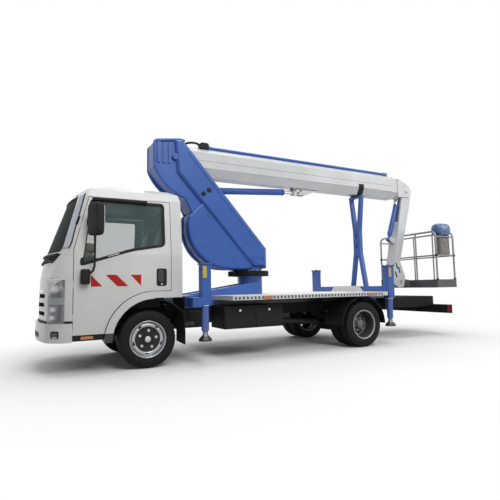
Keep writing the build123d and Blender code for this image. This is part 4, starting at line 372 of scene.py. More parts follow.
NODE_FINISH = {
    "cab_paint": "bumper",
    "cab_shell": "cab_back cab_front cab_roof cab_sides door_left door_right",
    "beam_paint_and_painted_shade": "subframe",
    "blue_paint": "arm control_hood boom_rest outrigger_* boom_duct lift_barrel jib_barrel",
    "leg_blue": "jack_*",
    "boom_paint": "boom_outer boom_mid boom_inner jib",
    "deck_paint": "deck",
    "chassis_black": "ladder_frame *_axle rear_bar knuckle_* slew_ring",
    "rim_silver": "rim*",
    "black_plastic": "mirror_* mudguards boom_saddle side_boxes cab_floor",
    "grey_plastic": "control_box",
    "trim_beige": "dashboard",
    "seat_cloth": "seats",
    "bright_rod": "lift_rod jib_rod",
    "steel": "level_drum",
    "galvanised": "basket_frame",
    "cast_metal": "powertrain",
    "toe_black": "basket_floor",
    "tyre_black": "tyre*",
    "side_glass": "door_glass_*",
    "screen_glass": "cab_glass",
    "lamp_cover": "headlamps",
}
for finish, patterns in NODE_FINISH.items():
    for name in (name for pattern in patterns.split() for name in fnmatch.filter(frame["nodes"], pattern)):
        for material_slot in frame["nodes"][name].material_slots:
            material_slot.material = FINISHES[finish].material


# Shapes


def grid(points, close_u=False, close_v=False):
    """Points on a grid of two parameters, joined to quads; a closed direction wraps round."""
    points = np.asarray(points, float)
    rows, columns = points.shape[:2]
    index = np.arange(rows * columns).reshape(rows, columns)
    u = np.append(index, index[:1], 0) if close_u else index
    v = np.append(u, u[:, :1], 1) if close_v else u
    faces = np.stack([v[:-1, :-1], v[:-1, 1:], v[1:, 1:], v[1:, :-1]], -1).reshape(-1, 4)
    return points.reshape(-1, 3), faces


def joined(shapes):
    """Several shapes as one list of points and one of faces."""
    points, faces, start = [], [], 0
    for shape_points, shape_faces in shapes:
        points.append(shape_points)
        faces += [[i + start for i in face] for face in np.asarray(shape_faces, dtype=object).tolist()]
        start += len(shape_points)
    return np.concatenate(points), faces


def show(name, data):
    """A new object in the scene."""
    made = bpy.data.objects.new(name, data)
    bpy.context.scene.collection.objects.link(made)
    return made


def piece(
    name, shape, finish="black_plastic", body="chassis", stands_for=(), bevel=0.0, thick=0.0, smooth=35.0
):
    """Puts a shape, or a list of them, into a mesh that rides on a body, with an optional wall and rounded edges."""
    points, faces = joined(shape) if isinstance(shape, list) else shape
    mesh = bpy.data.meshes.new(name)
    mesh.from_pydata(np.asarray(points, float).tolist(), [], [list(f) for f in faces])
    form = bmesh.new()
    form.from_mesh(mesh)
    bmesh.ops.remove_doubles(form, verts=form.verts, dist=1e-6)
    bmesh.ops.recalc_face_normals(form, faces=form.faces)
    form.to_mesh(mesh)
    form.free()
    mesh.shade_smooth()
    mesh.set_sharp_from_angle(angle=math.radians(smooth))
    mesh.materials.append(FINISHES[finish].material)
    obj = show(name, mesh)
    if thick:
        wall = obj.modifiers.new("wall", "SOLIDIFY")
        wall.thickness, wall.offset = thick, -1.0
    if bevel:
        edge = obj.modifiers.new("edge", "BEVEL")
        edge.width, edge.segments, edge.limit_method = bevel, 2, "ANGLE"
    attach(obj, body)
    if stands_for:
        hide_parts(*stands_for)
    return obj


def unit(vectors):
    """Rows brought to length 1."""
    return vectors / np.linalg.norm(vectors, axis=-1, keepdims=True)


def lathe(profile, centre, segments=96, axis="y"):
    """A profile of (along, radius) pairs turned round an axis through a centre."""
    along, radius = np.asarray(profile, float).T
    angle = np.arange(segments) * TURN / segments
    order = [np.cos(angle)[:, None] * radius, np.sin(angle)[:, None] * radius]
    order.insert("xyz".index(axis), np.broadcast_to(along, order[0].shape))
    return grid(np.stack(order, -1) + np.asarray(centre), close_u=True)


def tube(path, radius, segments=16):
    """A circle carried along a path, each ring square to the path's direction, with closed ends."""
    path = np.asarray(path, float)
    along = unit(np.gradient(path, axis=0))
    guess = np.array([0.0, 0.0, 1.0]) if abs(along[:, 2]).max() < 0.95 else np.array([0.31, 0.95, 0.05])
    side = unit(np.cross(along, guess))
    rise = np.cross(side, along)
    angle = np.arange(segments) * TURN / segments
    rings = np.cos(angle)[None, :, None] * side[:, None] + np.sin(angle)[None, :, None] * rise[:, None]
    reach = np.broadcast_to(np.asarray(radius, float), len(path))[:, None, None]
    points, faces = grid(path[:, None] + reach * rings, close_v=True)
    last = len(points)
    return points, faces.tolist() + [list(range(segments))[::-1], list(range(last - segments, last))]


def walled(low, high):
    """Two outlines with the same count of points, joined by side faces and closed at both ends."""
    count = len(low)
    index = np.arange(count)
    after = (index + 1) % count
    sides = np.stack([index, after, after + count, index + count], -1).tolist()
    return np.concatenate([low, high]), sides + [list(index[::-1]), list(index + count)]


def prism(outline, low, high, across="y"):
    """A flat outline carried straight from one level to another; outlines are (x, z), (x, y) or (y, z)."""
    flat = np.asarray(outline, float)
    return walled(*(np.insert(flat, "xyz".index(across), level, axis=1) for level in (low, high)))


def box(low, high):
    """A box between two corners."""
    (x0, y0, z0), (x1, y1, z1) = low, high
    return prism([(x0, z0), (x1, z0), (x1, z1), (x0, z1)], y0, y1)


def stud(centre, axis, radius, height, sides=6):
    """A bolt head: a regular prism that stands on its centre along an axis."""
    column = "xyz".index(axis)
    angle = (np.arange(sides) + 0.5) * TURN / sides
    outline = np.stack([np.cos(angle), np.sin(angle)], 1) * radius + np.delete(centre, column)
    return prism(outline, centre[column], centre[column] + height, axis)


def studs(spots, level, side, radius, height, sides=6):
    """Bolt heads on an upright plane along the truck, at places ahead of the front axle and heights."""
    return [stud((at(x), side * level, z), "y", radius, side * height, sides) for x, z in spots]


def bezier(corners, steps):
    """A smooth curve from the first corner to the last, drawn towards those between."""
    t = np.linspace(0, 1, steps)[:, None]
    order = len(corners) - 1
    shares = [math.comb(order, i) * (1 - t) ** (order - i) * t**i for i in range(order + 1)]
    return sum(share * np.asarray(corner, float) for share, corner in zip(shares, corners))


def rounded(corners, radius, steps=6):
    """A closed outline with each corner replaced by an arc that leaves the sides at the same distance."""
    corners = np.asarray(corners, float)
    out = []
    for before, here, after in zip(np.roll(corners, 1, 0), corners, np.roll(corners, -1, 0)):
        a, b = before - here, after - here
        reach = min(radius, 0.45 * np.linalg.norm(a), 0.45 * np.linalg.norm(b))
        out.append(bezier((here + unit(a) * reach, here, here + unit(b) * reach), steps))
    return np.concatenate(out)


def oblong(a0, a1, b0, b1, radius, steps=6):
    """A rectangle's outline with rounded corners."""
    return rounded([(a0, b0), (a1, b0), (a1, b1), (a0, b1)], radius, steps)


def grown(corners, distance):
    """An outline whose straight sides have all moved outwards by one distance."""
    corners = np.asarray(corners, float)
    after = np.roll(corners, -1, 0)
    along = unit(after - corners)
    area = np.sum(corners[:, 0] * after[:, 1] - after[:, 0] * corners[:, 1])
    out = np.stack([along[:, 1], -along[:, 0]], 1) * np.sign(area)
    shifts = [np.linalg.solve([out[i - 1], out[i]], [distance, distance]) for i in range(len(corners))]
    return corners + shifts


def flank(level, side):
    """An upright plane along the truck, as a surface for plates: a place along, a height and a lift."""
    return lambda a, b, lift: (a, side * (level + lift), b)


def crosswall(level, way):
    """An upright plane across the truck: a place across, a height and a lift."""
    return lambda a, b, lift: (level + way * lift, a, b)


def plate(outline, surface, proud, sink=0.004):
    """A plate that follows a surface: its outline is lifted proud of it and sunk a little into it."""
    return walled(*(np.array([surface(a, b, lift) for a, b in outline]) for lift in (-sink, proud)))


def band(outer, inner, surface, proud, sink=0.004):
    """A frame between two outlines with the same count of points, lifted and sunk like a plate."""
    rings = ((outer, -sink), (outer, proud), (inner, proud), (inner, -sink))
    return grid([[surface(a, b, lift) for a, b in outline] for outline, lift in rings], close_u=True, close_v=True)


def signed_power(value, power):
    """A power that keeps the sign."""
    return np.sign(value) * np.abs(value) ** power


def soft_box(centre, half, power=5.0, rows=20, columns=40):
    """A box with rounded edges: a ball whose three reaches are drawn out to a super-ellipsoid by a power."""
    v = np.linspace(-math.pi / 2, math.pi / 2, rows)[:, None]
    u = np.arange(columns)[None, :] * TURN / columns
    cos_v, sin_v, cos_u, sin_u = (signed_power(f(w), 2 / power) for w in (v, u) for f in (np.cos, np.sin))
    points = np.stack([cos_v * cos_u, cos_v * sin_u, sin_v * np.ones_like(u)], -1)
    return grid(points * np.asarray(half) + np.asarray(centre), close_v=True)


# Wheels


def tyre_shape(centre):
    """A tyre: bowed sidewalls with raised rings, a slightly round tread, wandering grooves and shoulder cuts.

    Round the wheel by angle and across it by distance, the radius is 345 mm at the middle of the tread and
    falls by 4 mm towards its edges; grooves take 8 mm off along lines that swing to and fro 48 times a turn.
    """
    turns, swings, wall_rows = 240, 48, 16
    angle = np.arange(turns) * TURN / turns
    sway = 0.0035 * (2 * np.abs(2 * ((angle * swings / TURN) % 1) - 1) - 1)
    lines = [(-0.083, 0), (-0.074, 0), (-0.066, 0)]
    for middle in (-0.05, -0.017, 0.017, 0.05):
        lines += [(middle - 0.0055, 0), (middle - 0.0035, 1), (middle + 0.0035, 1), (middle + 0.0055, 0)]
    lines += [(0.066, 0), (0.074, 0), (0.083, 0)]
    across, depth = np.array(lines).T
    cut = ((np.arange(turns) % 5) == 0)[:, None] * (np.abs(across) > 0.062)[None, :]
    tread_y = across[None, :] + sway[:, None] * (np.abs(across) < 0.06)[None, :]
    tread_r = 0.345 - 0.004 * (across / 0.083) ** 2 - 0.008 * depth - 0.006 * cut
    share = np.linspace(0, 1, wall_rows)
    wall_r = 0.211 + 0.12 * share
    rings = sum(np.exp(-(((wall_r - place) / 0.0035) ** 2)) for place in (0.236, 0.268, 0.304))
    wall_y = 0.079 + 0.02 * np.sin(math.pi * (0.12 + 0.78 * share)) + 0.0018 * rings
    y, r = (
        np.concatenate([np.broadcast_to(wall, (turns, wall_rows)) if wall.ndim == 1 else wall for wall in walls], 1)
        for walls in ((-wall_y, tread_y, wall_y[::-1]), (wall_r, tread_r, wall_r[::-1]))
    )
    points = np.stack([np.cos(angle)[:, None] * r, y, np.sin(angle)[:, None] * r], -1)
    return grid(points + np.asarray(centre), close_u=True, close_v=True)


def holed_disc(centre, side, profile, count, middle, half_angle, half_radius, start):
    """A wheel disc of equal sectors, each with an oval hole.

    In each sector rows run from the oval's edge out to the sector's border; a point's offset along the axle
    is read from a profile of (offset, radius) rows by its radius.
    """
    offsets, radii = np.asarray(profile, float).T
    u = np.arange(48) * TURN / 48
    v = np.linspace(0, 1, 7)[:, None]
    cos, sin = np.cos(u), np.sin(u)
    reach = 1 / np.maximum(np.abs(cos), np.abs(sin))
    border = np.where(sin > 0, radii.max() - middle, middle - radii.min())
    angle = (1 - v) * cos * half_angle + v * cos * reach * math.pi / count
    radius = middle + (1 - v) * sin * half_radius + v * sin * reach * border
    order = np.argsort(radii)
    offset = np.interp(radius, radii[order], offsets[order])
    sectors = []
    for turn in range(count):
        here = angle + math.radians(start) + turn * TURN / count
        points = np.stack([radius * np.cos(here), side * offset, radius * np.sin(here)], -1)
        sectors.append(grid(points + np.asarray(centre), close_v=True))
    return joined(sectors)


def ring(profile, centre, side, segments=96):
    """A profile of (offset, radius) rows turned round a wheel's axle."""
    return lathe([(side * offset, radius) for offset, radius in profile], centre, segments)


def nuts(centre, side, offset, radius, count, start, size):
    """Wheel nuts on a circle, each 20 mm high."""
    angles = math.radians(start) + np.arange(count) * TURN / count
    spots = [(radius * math.cos(a), side * offset, radius * math.sin(a)) for a in angles]
    return joined([stud(np.asarray(centre) + spot, "y", size, side * 0.02) for spot in spots])


FRONT_TRACK, REAR_TRACKS = 0.702, (0.848, 0.616)
RIM_WALL, FINE_EDGE, SMALL_EDGE = 0.005, 0.0015, 0.003
RIM_LIP = [(0.0925, 0.2185), (0.0955, 0.2215), (0.0985, 0.219), (0.0985, 0.213), (0.093, 0.206)]
FRONT_RIM = RIM_LIP + [(0.08, 0.2035), (0.07, 0.2), (0.064, 0.196)]
FRONT_DISC = [(0.064, 0.196), (0.074, 0.186), (0.078, 0.172), (0.076, 0.158), (0.07, 0.15)]
FRONT_BARREL = [(0.064, 0.196), (0.02, 0.194), (-0.08, 0.198), (-0.093, 0.206), (-0.0955, 0.22)]
FRONT_HUB = [(0.07, 0.15), (0.062, 0.147), (0.056, 0.13), (0.056, 0.062), (0.064, 0.056), (0.066, 0.0)]
CAP = [(0.064, 0.04), (0.086, 0.038), (0.093, 0.032), (0.096, 0.018), (0.0965, 0.0)]
REAR_RIM = RIM_LIP + [(0.076, 0.203)]
REAR_WELL = [(0.076, 0.203), (0.064, 0.195), (0.032, 0.192), (0.026, 0.186), (-0.02, 0.184), (-0.042, 0.178),
             (-0.056, 0.168)]
REAR_DISC = [(-0.056, 0.168), (-0.064, 0.15), (-0.056, 0.13), (-0.046, 0.114)]
REAR_HUB = [(-0.046, 0.114), (-0.044, 0.105), (-0.044, 0.082), (-0.018, 0.078), (-0.012, 0.07), (0.016, 0.064),
            (0.022, 0.056), (0.024, 0.0)]
INNER_RIM = [(0.0955, 0.22), (0.093, 0.206), (0.08, 0.198), (-0.08, 0.198), (-0.093, 0.206), (-0.0955, 0.22)]

for name, side in SIDES:
    hub, body = (FRONT_X, side * FRONT_TRACK, AXLE_Z), f"wheel_front_{name}"
    piece(f"tread_front_{name}", tyre_shape(hub), "tyre_black", body, [f"tyre_front_{name}"], smooth=28)
    disc = holed_disc(hub, side, FRONT_DISC, 5, 0.174, 0.135, 0.0125, 56)
    shapes = [ring(FRONT_RIM, hub, side), ring(FRONT_BARREL, hub, side), disc]
    piece(f"wheel_disc_front_{name}", shapes, "rim_bright", body, [f"rim_front_{name}"], thick=RIM_WALL)
    piece(f"hub_front_{name}", ring(FRONT_HUB, hub, side), "hub_dark", body, thick=0.004)
    shapes = [nuts(hub, side, 0.056, 0.104, 5, 25, 0.019), ring(CAP, hub, side, 40)]
    piece(f"nuts_front_{name}", shapes, "steel", body, bevel=FINE_EDGE)

    outer, inner = ((REAR_X, side * track, AXLE_Z) for track in REAR_TRACKS)
    body = f"wheels_rear_{name}"
    twin = [tyre_shape(outer), tyre_shape(inner)]
    piece(f"tread_rear_{name}", twin, "tyre_black", body, [f"tyres_rear_{name}"], smooth=28)
    shapes = [ring(REAR_RIM, outer, side), ring(INNER_RIM, inner, side)]
    piece(f"wheel_rings_rear_{name}", shapes, "rim_silver", body, [f"rims_rear_{name}"], thick=RIM_WALL)
    # painted shade: the rear rim's well, and below it its disc and hub, in darker copies of the silver
    piece(f"wheel_wells_rear_{name}", ring(REAR_WELL, outer, side), "rim_well_painted_shade", body, thick=RIM_WALL)
    disc = holed_disc(outer, side, REAR_DISC, 6, 0.142, 0.17, 0.0125, 20)
    piece(f"wheel_discs_rear_{name}", [ring(REAR_HUB, outer, side, 64), disc], "rim_shade", body, thick=RIM_WALL)
    piece(f"nuts_rear_{name}", nuts(outer, side, -0.044, 0.094, 6, 50, 0.012), "steel", body, bevel=FINE_EDGE)


# Cab skin

CAB_NODES = ("cab_front", "headlamps", "cab_sides", "cab_glass")
TREES = {}
for name in (*CAB_NODES, "bumper", "cab_roof"):
    mesh = frame["nodes"][name].data
    TREES[name] = BVHTree.FromPolygons([v.co for v in mesh.vertices], [p.vertices for p in mesh.polygons])


def side_skin(side):
    """The cab's flank: the half width falls in straight lines between the heights of its plan sections."""
    heights = (0.44, 1.1, 1.366, 2.06, 2.15)
    halves = (0.85, 0.85, 0.848, 0.775, 0.73)
    return lambda x, z, lift: (x, side * (np.interp(z, heights, halves) + lift), z)


def met(start, way, nodes, lift):
    """The first place where a line meets any of the nodes, lifted off it towards the line's start, or None."""
    start, way = Vector(start), Vector(way)
    hits = [hit for hit in (TREES[node].ray_cast(start, way)[3] for node in nodes) if hit]
    return tuple(start + way * (min(hits) - lift)) if hits else None


def front_skin(*nodes):
    """The nodes as seen from the front, at a place across and a height."""
    return lambda y, z, lift: met((6, y, z), (-1, 0, 0), nodes, lift)


def flank_skin(side, *nodes):
    """The nodes as seen from the truck's side, at a place along and a height."""
    return lambda x, z, lift: met((x, 3 * side, z), (0, -side, 0), nodes, lift)


def wrap_skin(turn, z, lift, nodes=CAB_NODES):
    """The cab as seen towards an upright axis 450 mm ahead of the front axle, by turn and height."""
    x, y = math.cos(math.radians(turn)), math.sin(math.radians(turn))
    return met((at(0.45) + 3 * x, 3 * y, z), (-x, -y, 0), nodes, lift)


def wrapped(heights, first, last, lift):
    """A sheet on the cab's skin: at each height it runs from one turn to another, at one lift."""
    return grid([
        [wrap_skin(turn, z, lift) for turn in np.linspace(a, b, 16)]
        for z, a, b in np.broadcast(heights, first, last)
    ])


# Doors, mirrors and small lamps

WINDOW = [(at(0.762), 1.248), (at(0.21), 1.425), (at(-0.175), 1.49), (at(-0.175), 1.995), (at(0.655), 1.995)]
CHEVRONS = (
    [(0.667, 1.122), (0.54, 0.988), (0.665, 0.988)],
    [(0.505, 1.122), (0.385, 1.122), (0.25, 0.988), (0.375, 0.988)],
    [(0.225, 1.122), (0.098, 1.122), (0.1, 0.99)],
)
DOOR_CARD = ((0.7, 0.9), (0.7, 1.215), (0.21, 1.385), (-0.22, 1.44), (-0.22, 0.98), (0.25, 0.98))
ARM_REST = ((0.3, 1.18), (0.3, 1.24), (-0.15, 1.26), (-0.15, 1.2))
MARKER = ((0.812, 1.7), (0.838, 1.7), (0.806, 1.8), (0.78, 1.8))
MIRROR_STAY = [(0.64, 0.955, z) for z in np.linspace(1.9, 1.22, 18)]
MIRROR_STAY += [(0.655, 0.945, 1.165), (0.69, 0.915, 1.13), (0.715, 0.885, 1.112)]
MIRROR_BRACE = ((0.64, 0.93, 1.87), (0.668, 0.87, 1.885), (0.69, 0.806, 1.895))


def ahead(corners):
    """An outline given ahead of the front axle."""
    return [(at(x), z) for x, z in corners]


for name, side in SIDES:
    body, skin = f"door_{name}", side_skin(side)
    seal = band(rounded(grown(WINDOW, 0.024), 0.06, 10), rounded(grown(WINDOW, -0.01), 0.03, 10), skin, 0.003, 0.016)
    piece(f"window_seal_{name}", seal, "black_plastic", body, smooth=50)
    stripes = [plate(ahead(corners), skin, 0.0012, 0.001) for corners in CHEVRONS]
    piece(f"door_stripes_{name}", stripes, "red_film", body)
    path = [skin(at(x), 2.014, 0.012) for x in np.linspace(0.655, 0.02, 24)]
    gutter = tube(path, 0.027 * np.sin(np.linspace(0.35, math.pi - 0.35, 24)) ** 0.3, 12)
    piece(f"window_deflector_{name}", gutter, "black_plastic", body)
    dish = plate(oblong(at(-0.087), at(-0.214), 0.985, 1.198, 0.03, 8), skin, 0.005)
    piece(f"handle_dish_{name}", dish, "black_plastic", body, bevel=SMALL_EDGE)
    grip = plate(oblong(at(-0.104), at(-0.176), 1.03, 1.18, 0.026, 8), skin, 0.014, 0.0)
    piece(f"handle_grip_{name}", grip, "gloss_black", body, bevel=0.004)
    piece(f"door_lock_{name}", studs([(-0.15, 1.008)], 0.854, side, 0.011, 0.005, 16), "steel", body, bevel=0.001)
    lining = prism(rounded(ahead(DOOR_CARD), 0.03), side * 0.792, side * 0.804)
    piece(f"door_card_{name}", lining, "trim_beige", body, bevel=0.004)
    rest = prism(rounded(ahead(ARM_REST), 0.02), side * 0.735, side * 0.793)
    piece(f"arm_rest_{name}", rest, "grey_plastic", body, bevel=0.008)

    middle = (at(0.64), side * 1.01, 0)
    turned = np.array(Matrix.Rotation(side * math.radians(28), 3, "Z")).T
    case, case_faces = soft_box((0, 0, 1.742), (0.052, 0.098, 0.186), 6.0)
    shapes = [(case @ turned + middle, case_faces)]
    shapes.append(tube(placed(MIRROR_STAY, side), 0.0125, 14))
    shapes.append(tube(placed(MIRROR_BRACE, side), 0.011, 12))
    shapes.append(soft_box((at(0.729), side * 0.888, 1.1), (0.05, 0.04, 0.085), 7.0))
    piece(f"mirror_housing_{name}", shapes, "black_plastic", body, [f"mirror_{name}"], smooth=50)
    glass, glass_faces = prism(oblong(-0.085, 0.085, 1.585, 1.895, 0.03), -0.0535, -0.0495, "x")
    piece(f"mirror_glass_{name}", (glass @ turned + middle, glass_faces), "mirror_glass", body, bevel=0.001)

    pillar = flank_skin(side, "cab_sides", "cab_front", "cab_roof")
    marker = plate(rounded(ahead(MARKER), 0.01, 5), pillar, 0.006, 0.01)
    piece(f"pillar_marker_{name}", marker)
    lens = prism(oblong(at(0.63), at(0.765), 0.4, 0.432, 0.01, 5), side * 0.838, side * 0.854)
    piece(f"sill_lamp_{name}", lens, "amber_lens", bevel=SMALL_EDGE)
    shell = flank_skin(side, "bumper")
    recess = plate(oblong(at(0.985), at(1.065), 0.425, 0.505, 0.02), shell, 0.003)
    piece(f"bumper_recess_{name}", recess)
    lamp = plate(oblong(at(1.0), at(1.055), 0.445, 0.49, 0.015), shell, 0.007)
    piece(f"bumper_lamp_{name}", lamp, "gloss_black", bevel=SMALL_EDGE)


# Front of the cab

flaps = []
for _, side in SIDES:
    sheet = [(side * 0.47, 0.262), (side * 0.835, 0.25), (side * 0.838, 0.44), (side * 0.47, 0.44)]
    flaps.append(prism(rounded(sheet, 0.012, 5), at(-0.456), at(-0.452), "x"))
piece("wheel_flaps", flaps)
seam = [wrap_skin(turn, 0.6, 0.0, ("cab_front",)) for turn in np.linspace(-76, 76, 121)]
piece("bumper_seam", tube([spot for spot in seam if spot], 0.011, 10))

screen = front_skin("cab_front", "cab_glass", "cab_sides")
cowl = [screen(y, 1.364, 0.004) for y in np.linspace(-0.66, 0.66, 60)]
piece("screen_cowl", tube(cowl, 0.016, 12))
shapes = []
for root, tip in ((0.5, -0.06), (-0.12, -0.62)):
    reach = tip - root
    blade = [screen(root + reach * s, 1.322 + 0.035 * s, 0.012) for s in np.linspace(0, 1, 30)]
    knee = screen(root + 0.07, 1.285, 0.014)
    elbow = screen(root + reach * 0.2, 1.31, 0.028)
    middle = screen(root + reach * 0.52, 1.322 + 0.035 * 0.52, 0.022)
    shapes += [tube(blade, 0.0075, 8), tube(bezier((knee, elbow, middle), 20), 0.008, 8)]
    shapes.append(stud(np.array(knee) - (0.02, 0, 0), "x", 0.018, 0.028, 16))
piece("wipers", shapes)

# Grille: dark sheets behind the slots, painted shade for the openings, with a bright bar above them
nose = front_skin("cab_front")
shapes = []
for z in (0.69, 0.79, 0.89):
    across = np.linspace(-0.555, 0.555, 45)
    # painted shade: a dark sheet set back in each slot
    shapes.append(grid([[(nose(y, z + 0.036, -0.011)[0], y, z + step) for y in across] for step in (-0.034, 0.034)]))
    for rib in np.linspace(-0.5, 0.5, 26):
        x = nose(rib, z + 0.036, 0)[0]
        shapes.append(box((x - 0.012, rib - 0.003, z - 0.022), (x - 0.004, rib + 0.003, z + 0.022)))
piece("grille_slot_shade_and_ribs", shapes)
bar = [nose(y, 0.945, 0.003) for y in np.linspace(-0.5, 0.5, 60)]
piece("grille_bar", tube(bar, 0.01, 10), "bright_rod")
bumper_skin = front_skin("bumper")
across = np.linspace(-0.42, 0.42, 40)
INTAKE = ((0.415, 1), (0.43, 1), (0.46, 0.98), (0.475, 0.96))
intake = grid([[bumper_skin(y * share, z, 0.0025) for y in across] for z, share in INTAKE])
piece("bumper_intake", intake, thick=0.004)

# Headlamp covers, the panel inside each, screen edges and cowl
LAMP_HEIGHTS = (0.606, 0.738, 0.837, 0.889, 0.94, 0.99, 1.036, 1.064, 1.071)
LAMP_TURNS = (48.5, 47.6, 47.1, 47.6, 49.4, 52.0, 54.6, 57.8, 59.6)
LAMP_END = 60.0
EDGE_HEIGHTS = (1.4217, 1.4824, 1.651, 1.8623, 2.0604, 2.0877)
GLASS_TURNS = (54.2, 54.1, 55.1, 56.6, 58.4, 58.8)
SEAL_TURNS = (60.6, 62.3, 63.8, 66.5, 69.0, 69.7)
COWL_TURNS = (0.0, 12.0, 33.0, 47.8, 51.2, 54.5)
COWL_HEIGHTS = (1.272, 1.273, 1.273, 1.287, 1.331, 1.366)
COWL_TOP = 1.368
for name, side in SIDES:
    levels = np.linspace(0.608, 1.0705, 48)
    lens = wrapped(levels, side * np.interp(levels, LAMP_HEIGHTS, LAMP_TURNS), side * LAMP_END, 0.008)
    piece(f"lamp_lens_{name}", lens, "lamp_cover", thick=0.009)
    levels = np.linspace(0.88, 1.078, 24)
    border = np.where(levels > LAMP_HEIGHTS[-1], LAMP_END, np.interp(levels, LAMP_HEIGHTS, LAMP_TURNS) + 0.4)
    piece(f"lamp_corner_{name}", wrapped(levels, side * 45.5, side * border, 0.0055), "cab_paint", thick=0.008)
    levels = np.linspace(1.425, 2.08, 40)
    first, last = (side * np.interp(levels, EDGE_HEIGHTS, turns) for turns in (GLASS_TURNS, SEAL_TURNS))
    # painted reflection along the windscreen's wrapped edges
    piece(f"screen_edge_{name}", wrapped(levels, first, last, 0.004), "screen_edge_painted_reflection", thick=0.005)
    lines = [tube([wrap_skin(a, z, 0.004) for a, z in zip(turns, levels)], 0.007, 10) for turns in (first, last)]
    piece(f"screen_seal_{name}", lines)
turns = np.linspace(-54.5, 54.5, 73)
low = np.interp(np.abs(turns), COWL_TURNS, COWL_HEIGHTS)
rows = [zip(turns, low + (COWL_TOP - low) * share) for share in np.linspace(0, 1, 10)]
piece("cowl_panel", grid([[wrap_skin(a, z, 0.004) for a, z in row] for row in rows]), "cowl_black", thick=0.005)


# Jacks and deck

POSTS = (("front", -0.672), ("rear", -3.835))
POST_Y, POST_HALF, POST_TOP = 0.96, 0.06, 1.262
COLLAR = [(0.737, 0.0484), (0.737, 0.06), (0.728, 0.06), (0.724, 0.056), (0.724, 0.0484)]
DECK_EDGE = 1.004

for name, side in SIDES:
    for end, back in POSTS:
        body = f"outrigger_{name}" if end == "front" else "chassis"
        x, y = at(back), side * POST_Y
        label, face = oblong(x - 0.004, x + 0.05, 1.075, 1.225, 0.004, 4), flank(POST_Y + POST_HALF, side)
        piece(f"post_label_{end}_{name}", plate(label, face, 0.0008, 0.0005), "yellow_film", body)
        shapes = [stud((x + dx, y + dy, POST_TOP), "z", 0.011, 0.008) for dx in (-0.05, 0.05) for dy in (-0.05, 0.05)]
        shapes.append(stud((x, y, POST_TOP), "z", 0.022, 0.014, 20))
        shapes += [stud((x + POST_HALF, y + dy, z), "x", 0.009, 0.006) for dy in (-0.03, 0.03) for z in (0.8, 1.18)]
        shapes.append(stud((x - POST_HALF, y - side * 0.02, 1.2), "x", 0.016, -0.03, 12))
        piece(f"post_screws_{end}_{name}", shapes, "cast_metal", body, bevel=FINE_EDGE)
        piece(f"post_collar_{end}_{name}", lathe(COLLAR, (x, y, 0), 48, "z"), "steel", body)

slots, strips, lenses = [], [], []
for _, side in SIDES:
    strips.append(box((at(-3.7), side * 1.0, 0.781), (at(-1.045), side * DECK_EDGE, 0.839)))
    face = flank(DECK_EDGE, side)
    # painted shade: thin dark plates stand for the shade inside the slots
    for x in at(np.arange(-1.08, -3.68, -0.058)):
        slots.append(plate(oblong(x - 0.015, x + 0.015, 0.792, 0.828, 0.006, 3), face, 0.0006, 0.0005))
    for rear, front in ((-1.63, -1.505), (-3.49, -3.34)):
        lenses.append(plate(oblong(at(rear), at(front), 0.788, 0.83, 0.008, 5), face, 0.008, 0.001))
piece("deck_edges", strips, "boom_paint", bevel=0.001)
piece("deck_edge_slots", slots, "slot_shade")
piece("deck_reflectors", lenses, "amber_lens", bevel=0.002)
angles = [a for a in np.arange(24) * TURN / 24 if math.cos(a) < 0.6]
shapes = [stud((0.52 + 0.262 * math.cos(a), 0.262 * math.sin(a), 1.2), "z", 0.012, 0.009) for a in angles]
piece("slew_bolts", shapes, "steel", bevel=FINE_EDGE)


# Arm

ARM_CORNER = ((-2.0, 1.554), (-2.0, 1.2593), (-1.77, 1.2593), (-0.56, 2.6246), (-0.52, 3.1012), (-0.635, 3.1173))
ARM_PLATE, SPINE_FACE = 0.18, 0.232
POCKET = ((-1.675, 1.418), (-1.95, 1.43), (-1.95, 1.3), (-1.84, 1.3))
HOLE = ((-0.002, 0.036), (0.003, 0.036), (0.003, 0.03), (0.001, 0.028), (0.001, 0.0))


def belly_cover(side):
    """The round cover on the arm's belly.

    By angle about the belly's middle, the reach is read from a table of the arm's edge; along the profile a
    third-power ellipse rolls the rim from the edge plate on to the flat side, which then runs in to the middle.
    """
    turns = (-131.5, -110, -96, -75, -52, -25, 0, 14, 21, 30, 48.5)
    reaches = (0.748, 0.596, 0.563, 0.545, 0.538, 0.545, 0.562, 0.58, 0.588, 0.556, 0.54)
    angle = np.radians(np.linspace(turns[0], turns[-1], 121))[:, None]
    reach = np.interp(np.degrees(angle), turns, reaches)
    roll = np.linspace(0, math.pi / 2, 16)[None, :]
    radius = reach - 0.05 + 0.068 * np.cos(roll) ** (2 / 3)
    across = np.broadcast_to(0.1 + 0.097 * np.sin(roll) ** (2 / 3), radius.shape)
    inner = (np.linspace(1, 0.02, 8)[None, :] * (reach - 0.05))[:, 1:]
    radius = np.concatenate([reach - 0.006, radius, inner], 1)
    across = np.concatenate([np.full(reach.shape, 0.096), across, np.full(inner.shape, 0.197)], 1)
    x, z = at(-1.29) + radius * np.cos(angle), 1.8 + radius * np.sin(angle)
    return grid(np.stack([x, side * across, z], -1))


def spine_cover(side):
    """The raised spine: its outline stands on the side plate, slopes inwards by 30 mm and ends in a flat face."""
    outer = ahead(ARM_CORNER)
    rings = [(outer, ARM_PLATE), (grown(outer, -0.004), 0.206), (grown(outer, -0.03), SPINE_FACE)]
    shape, faces = grid([[(x, side * y, z) for x, z in outline] for outline, y in rings], close_v=True)
    return shape, faces.tolist() + [list(range(2 * len(outer), 3 * len(outer)))]


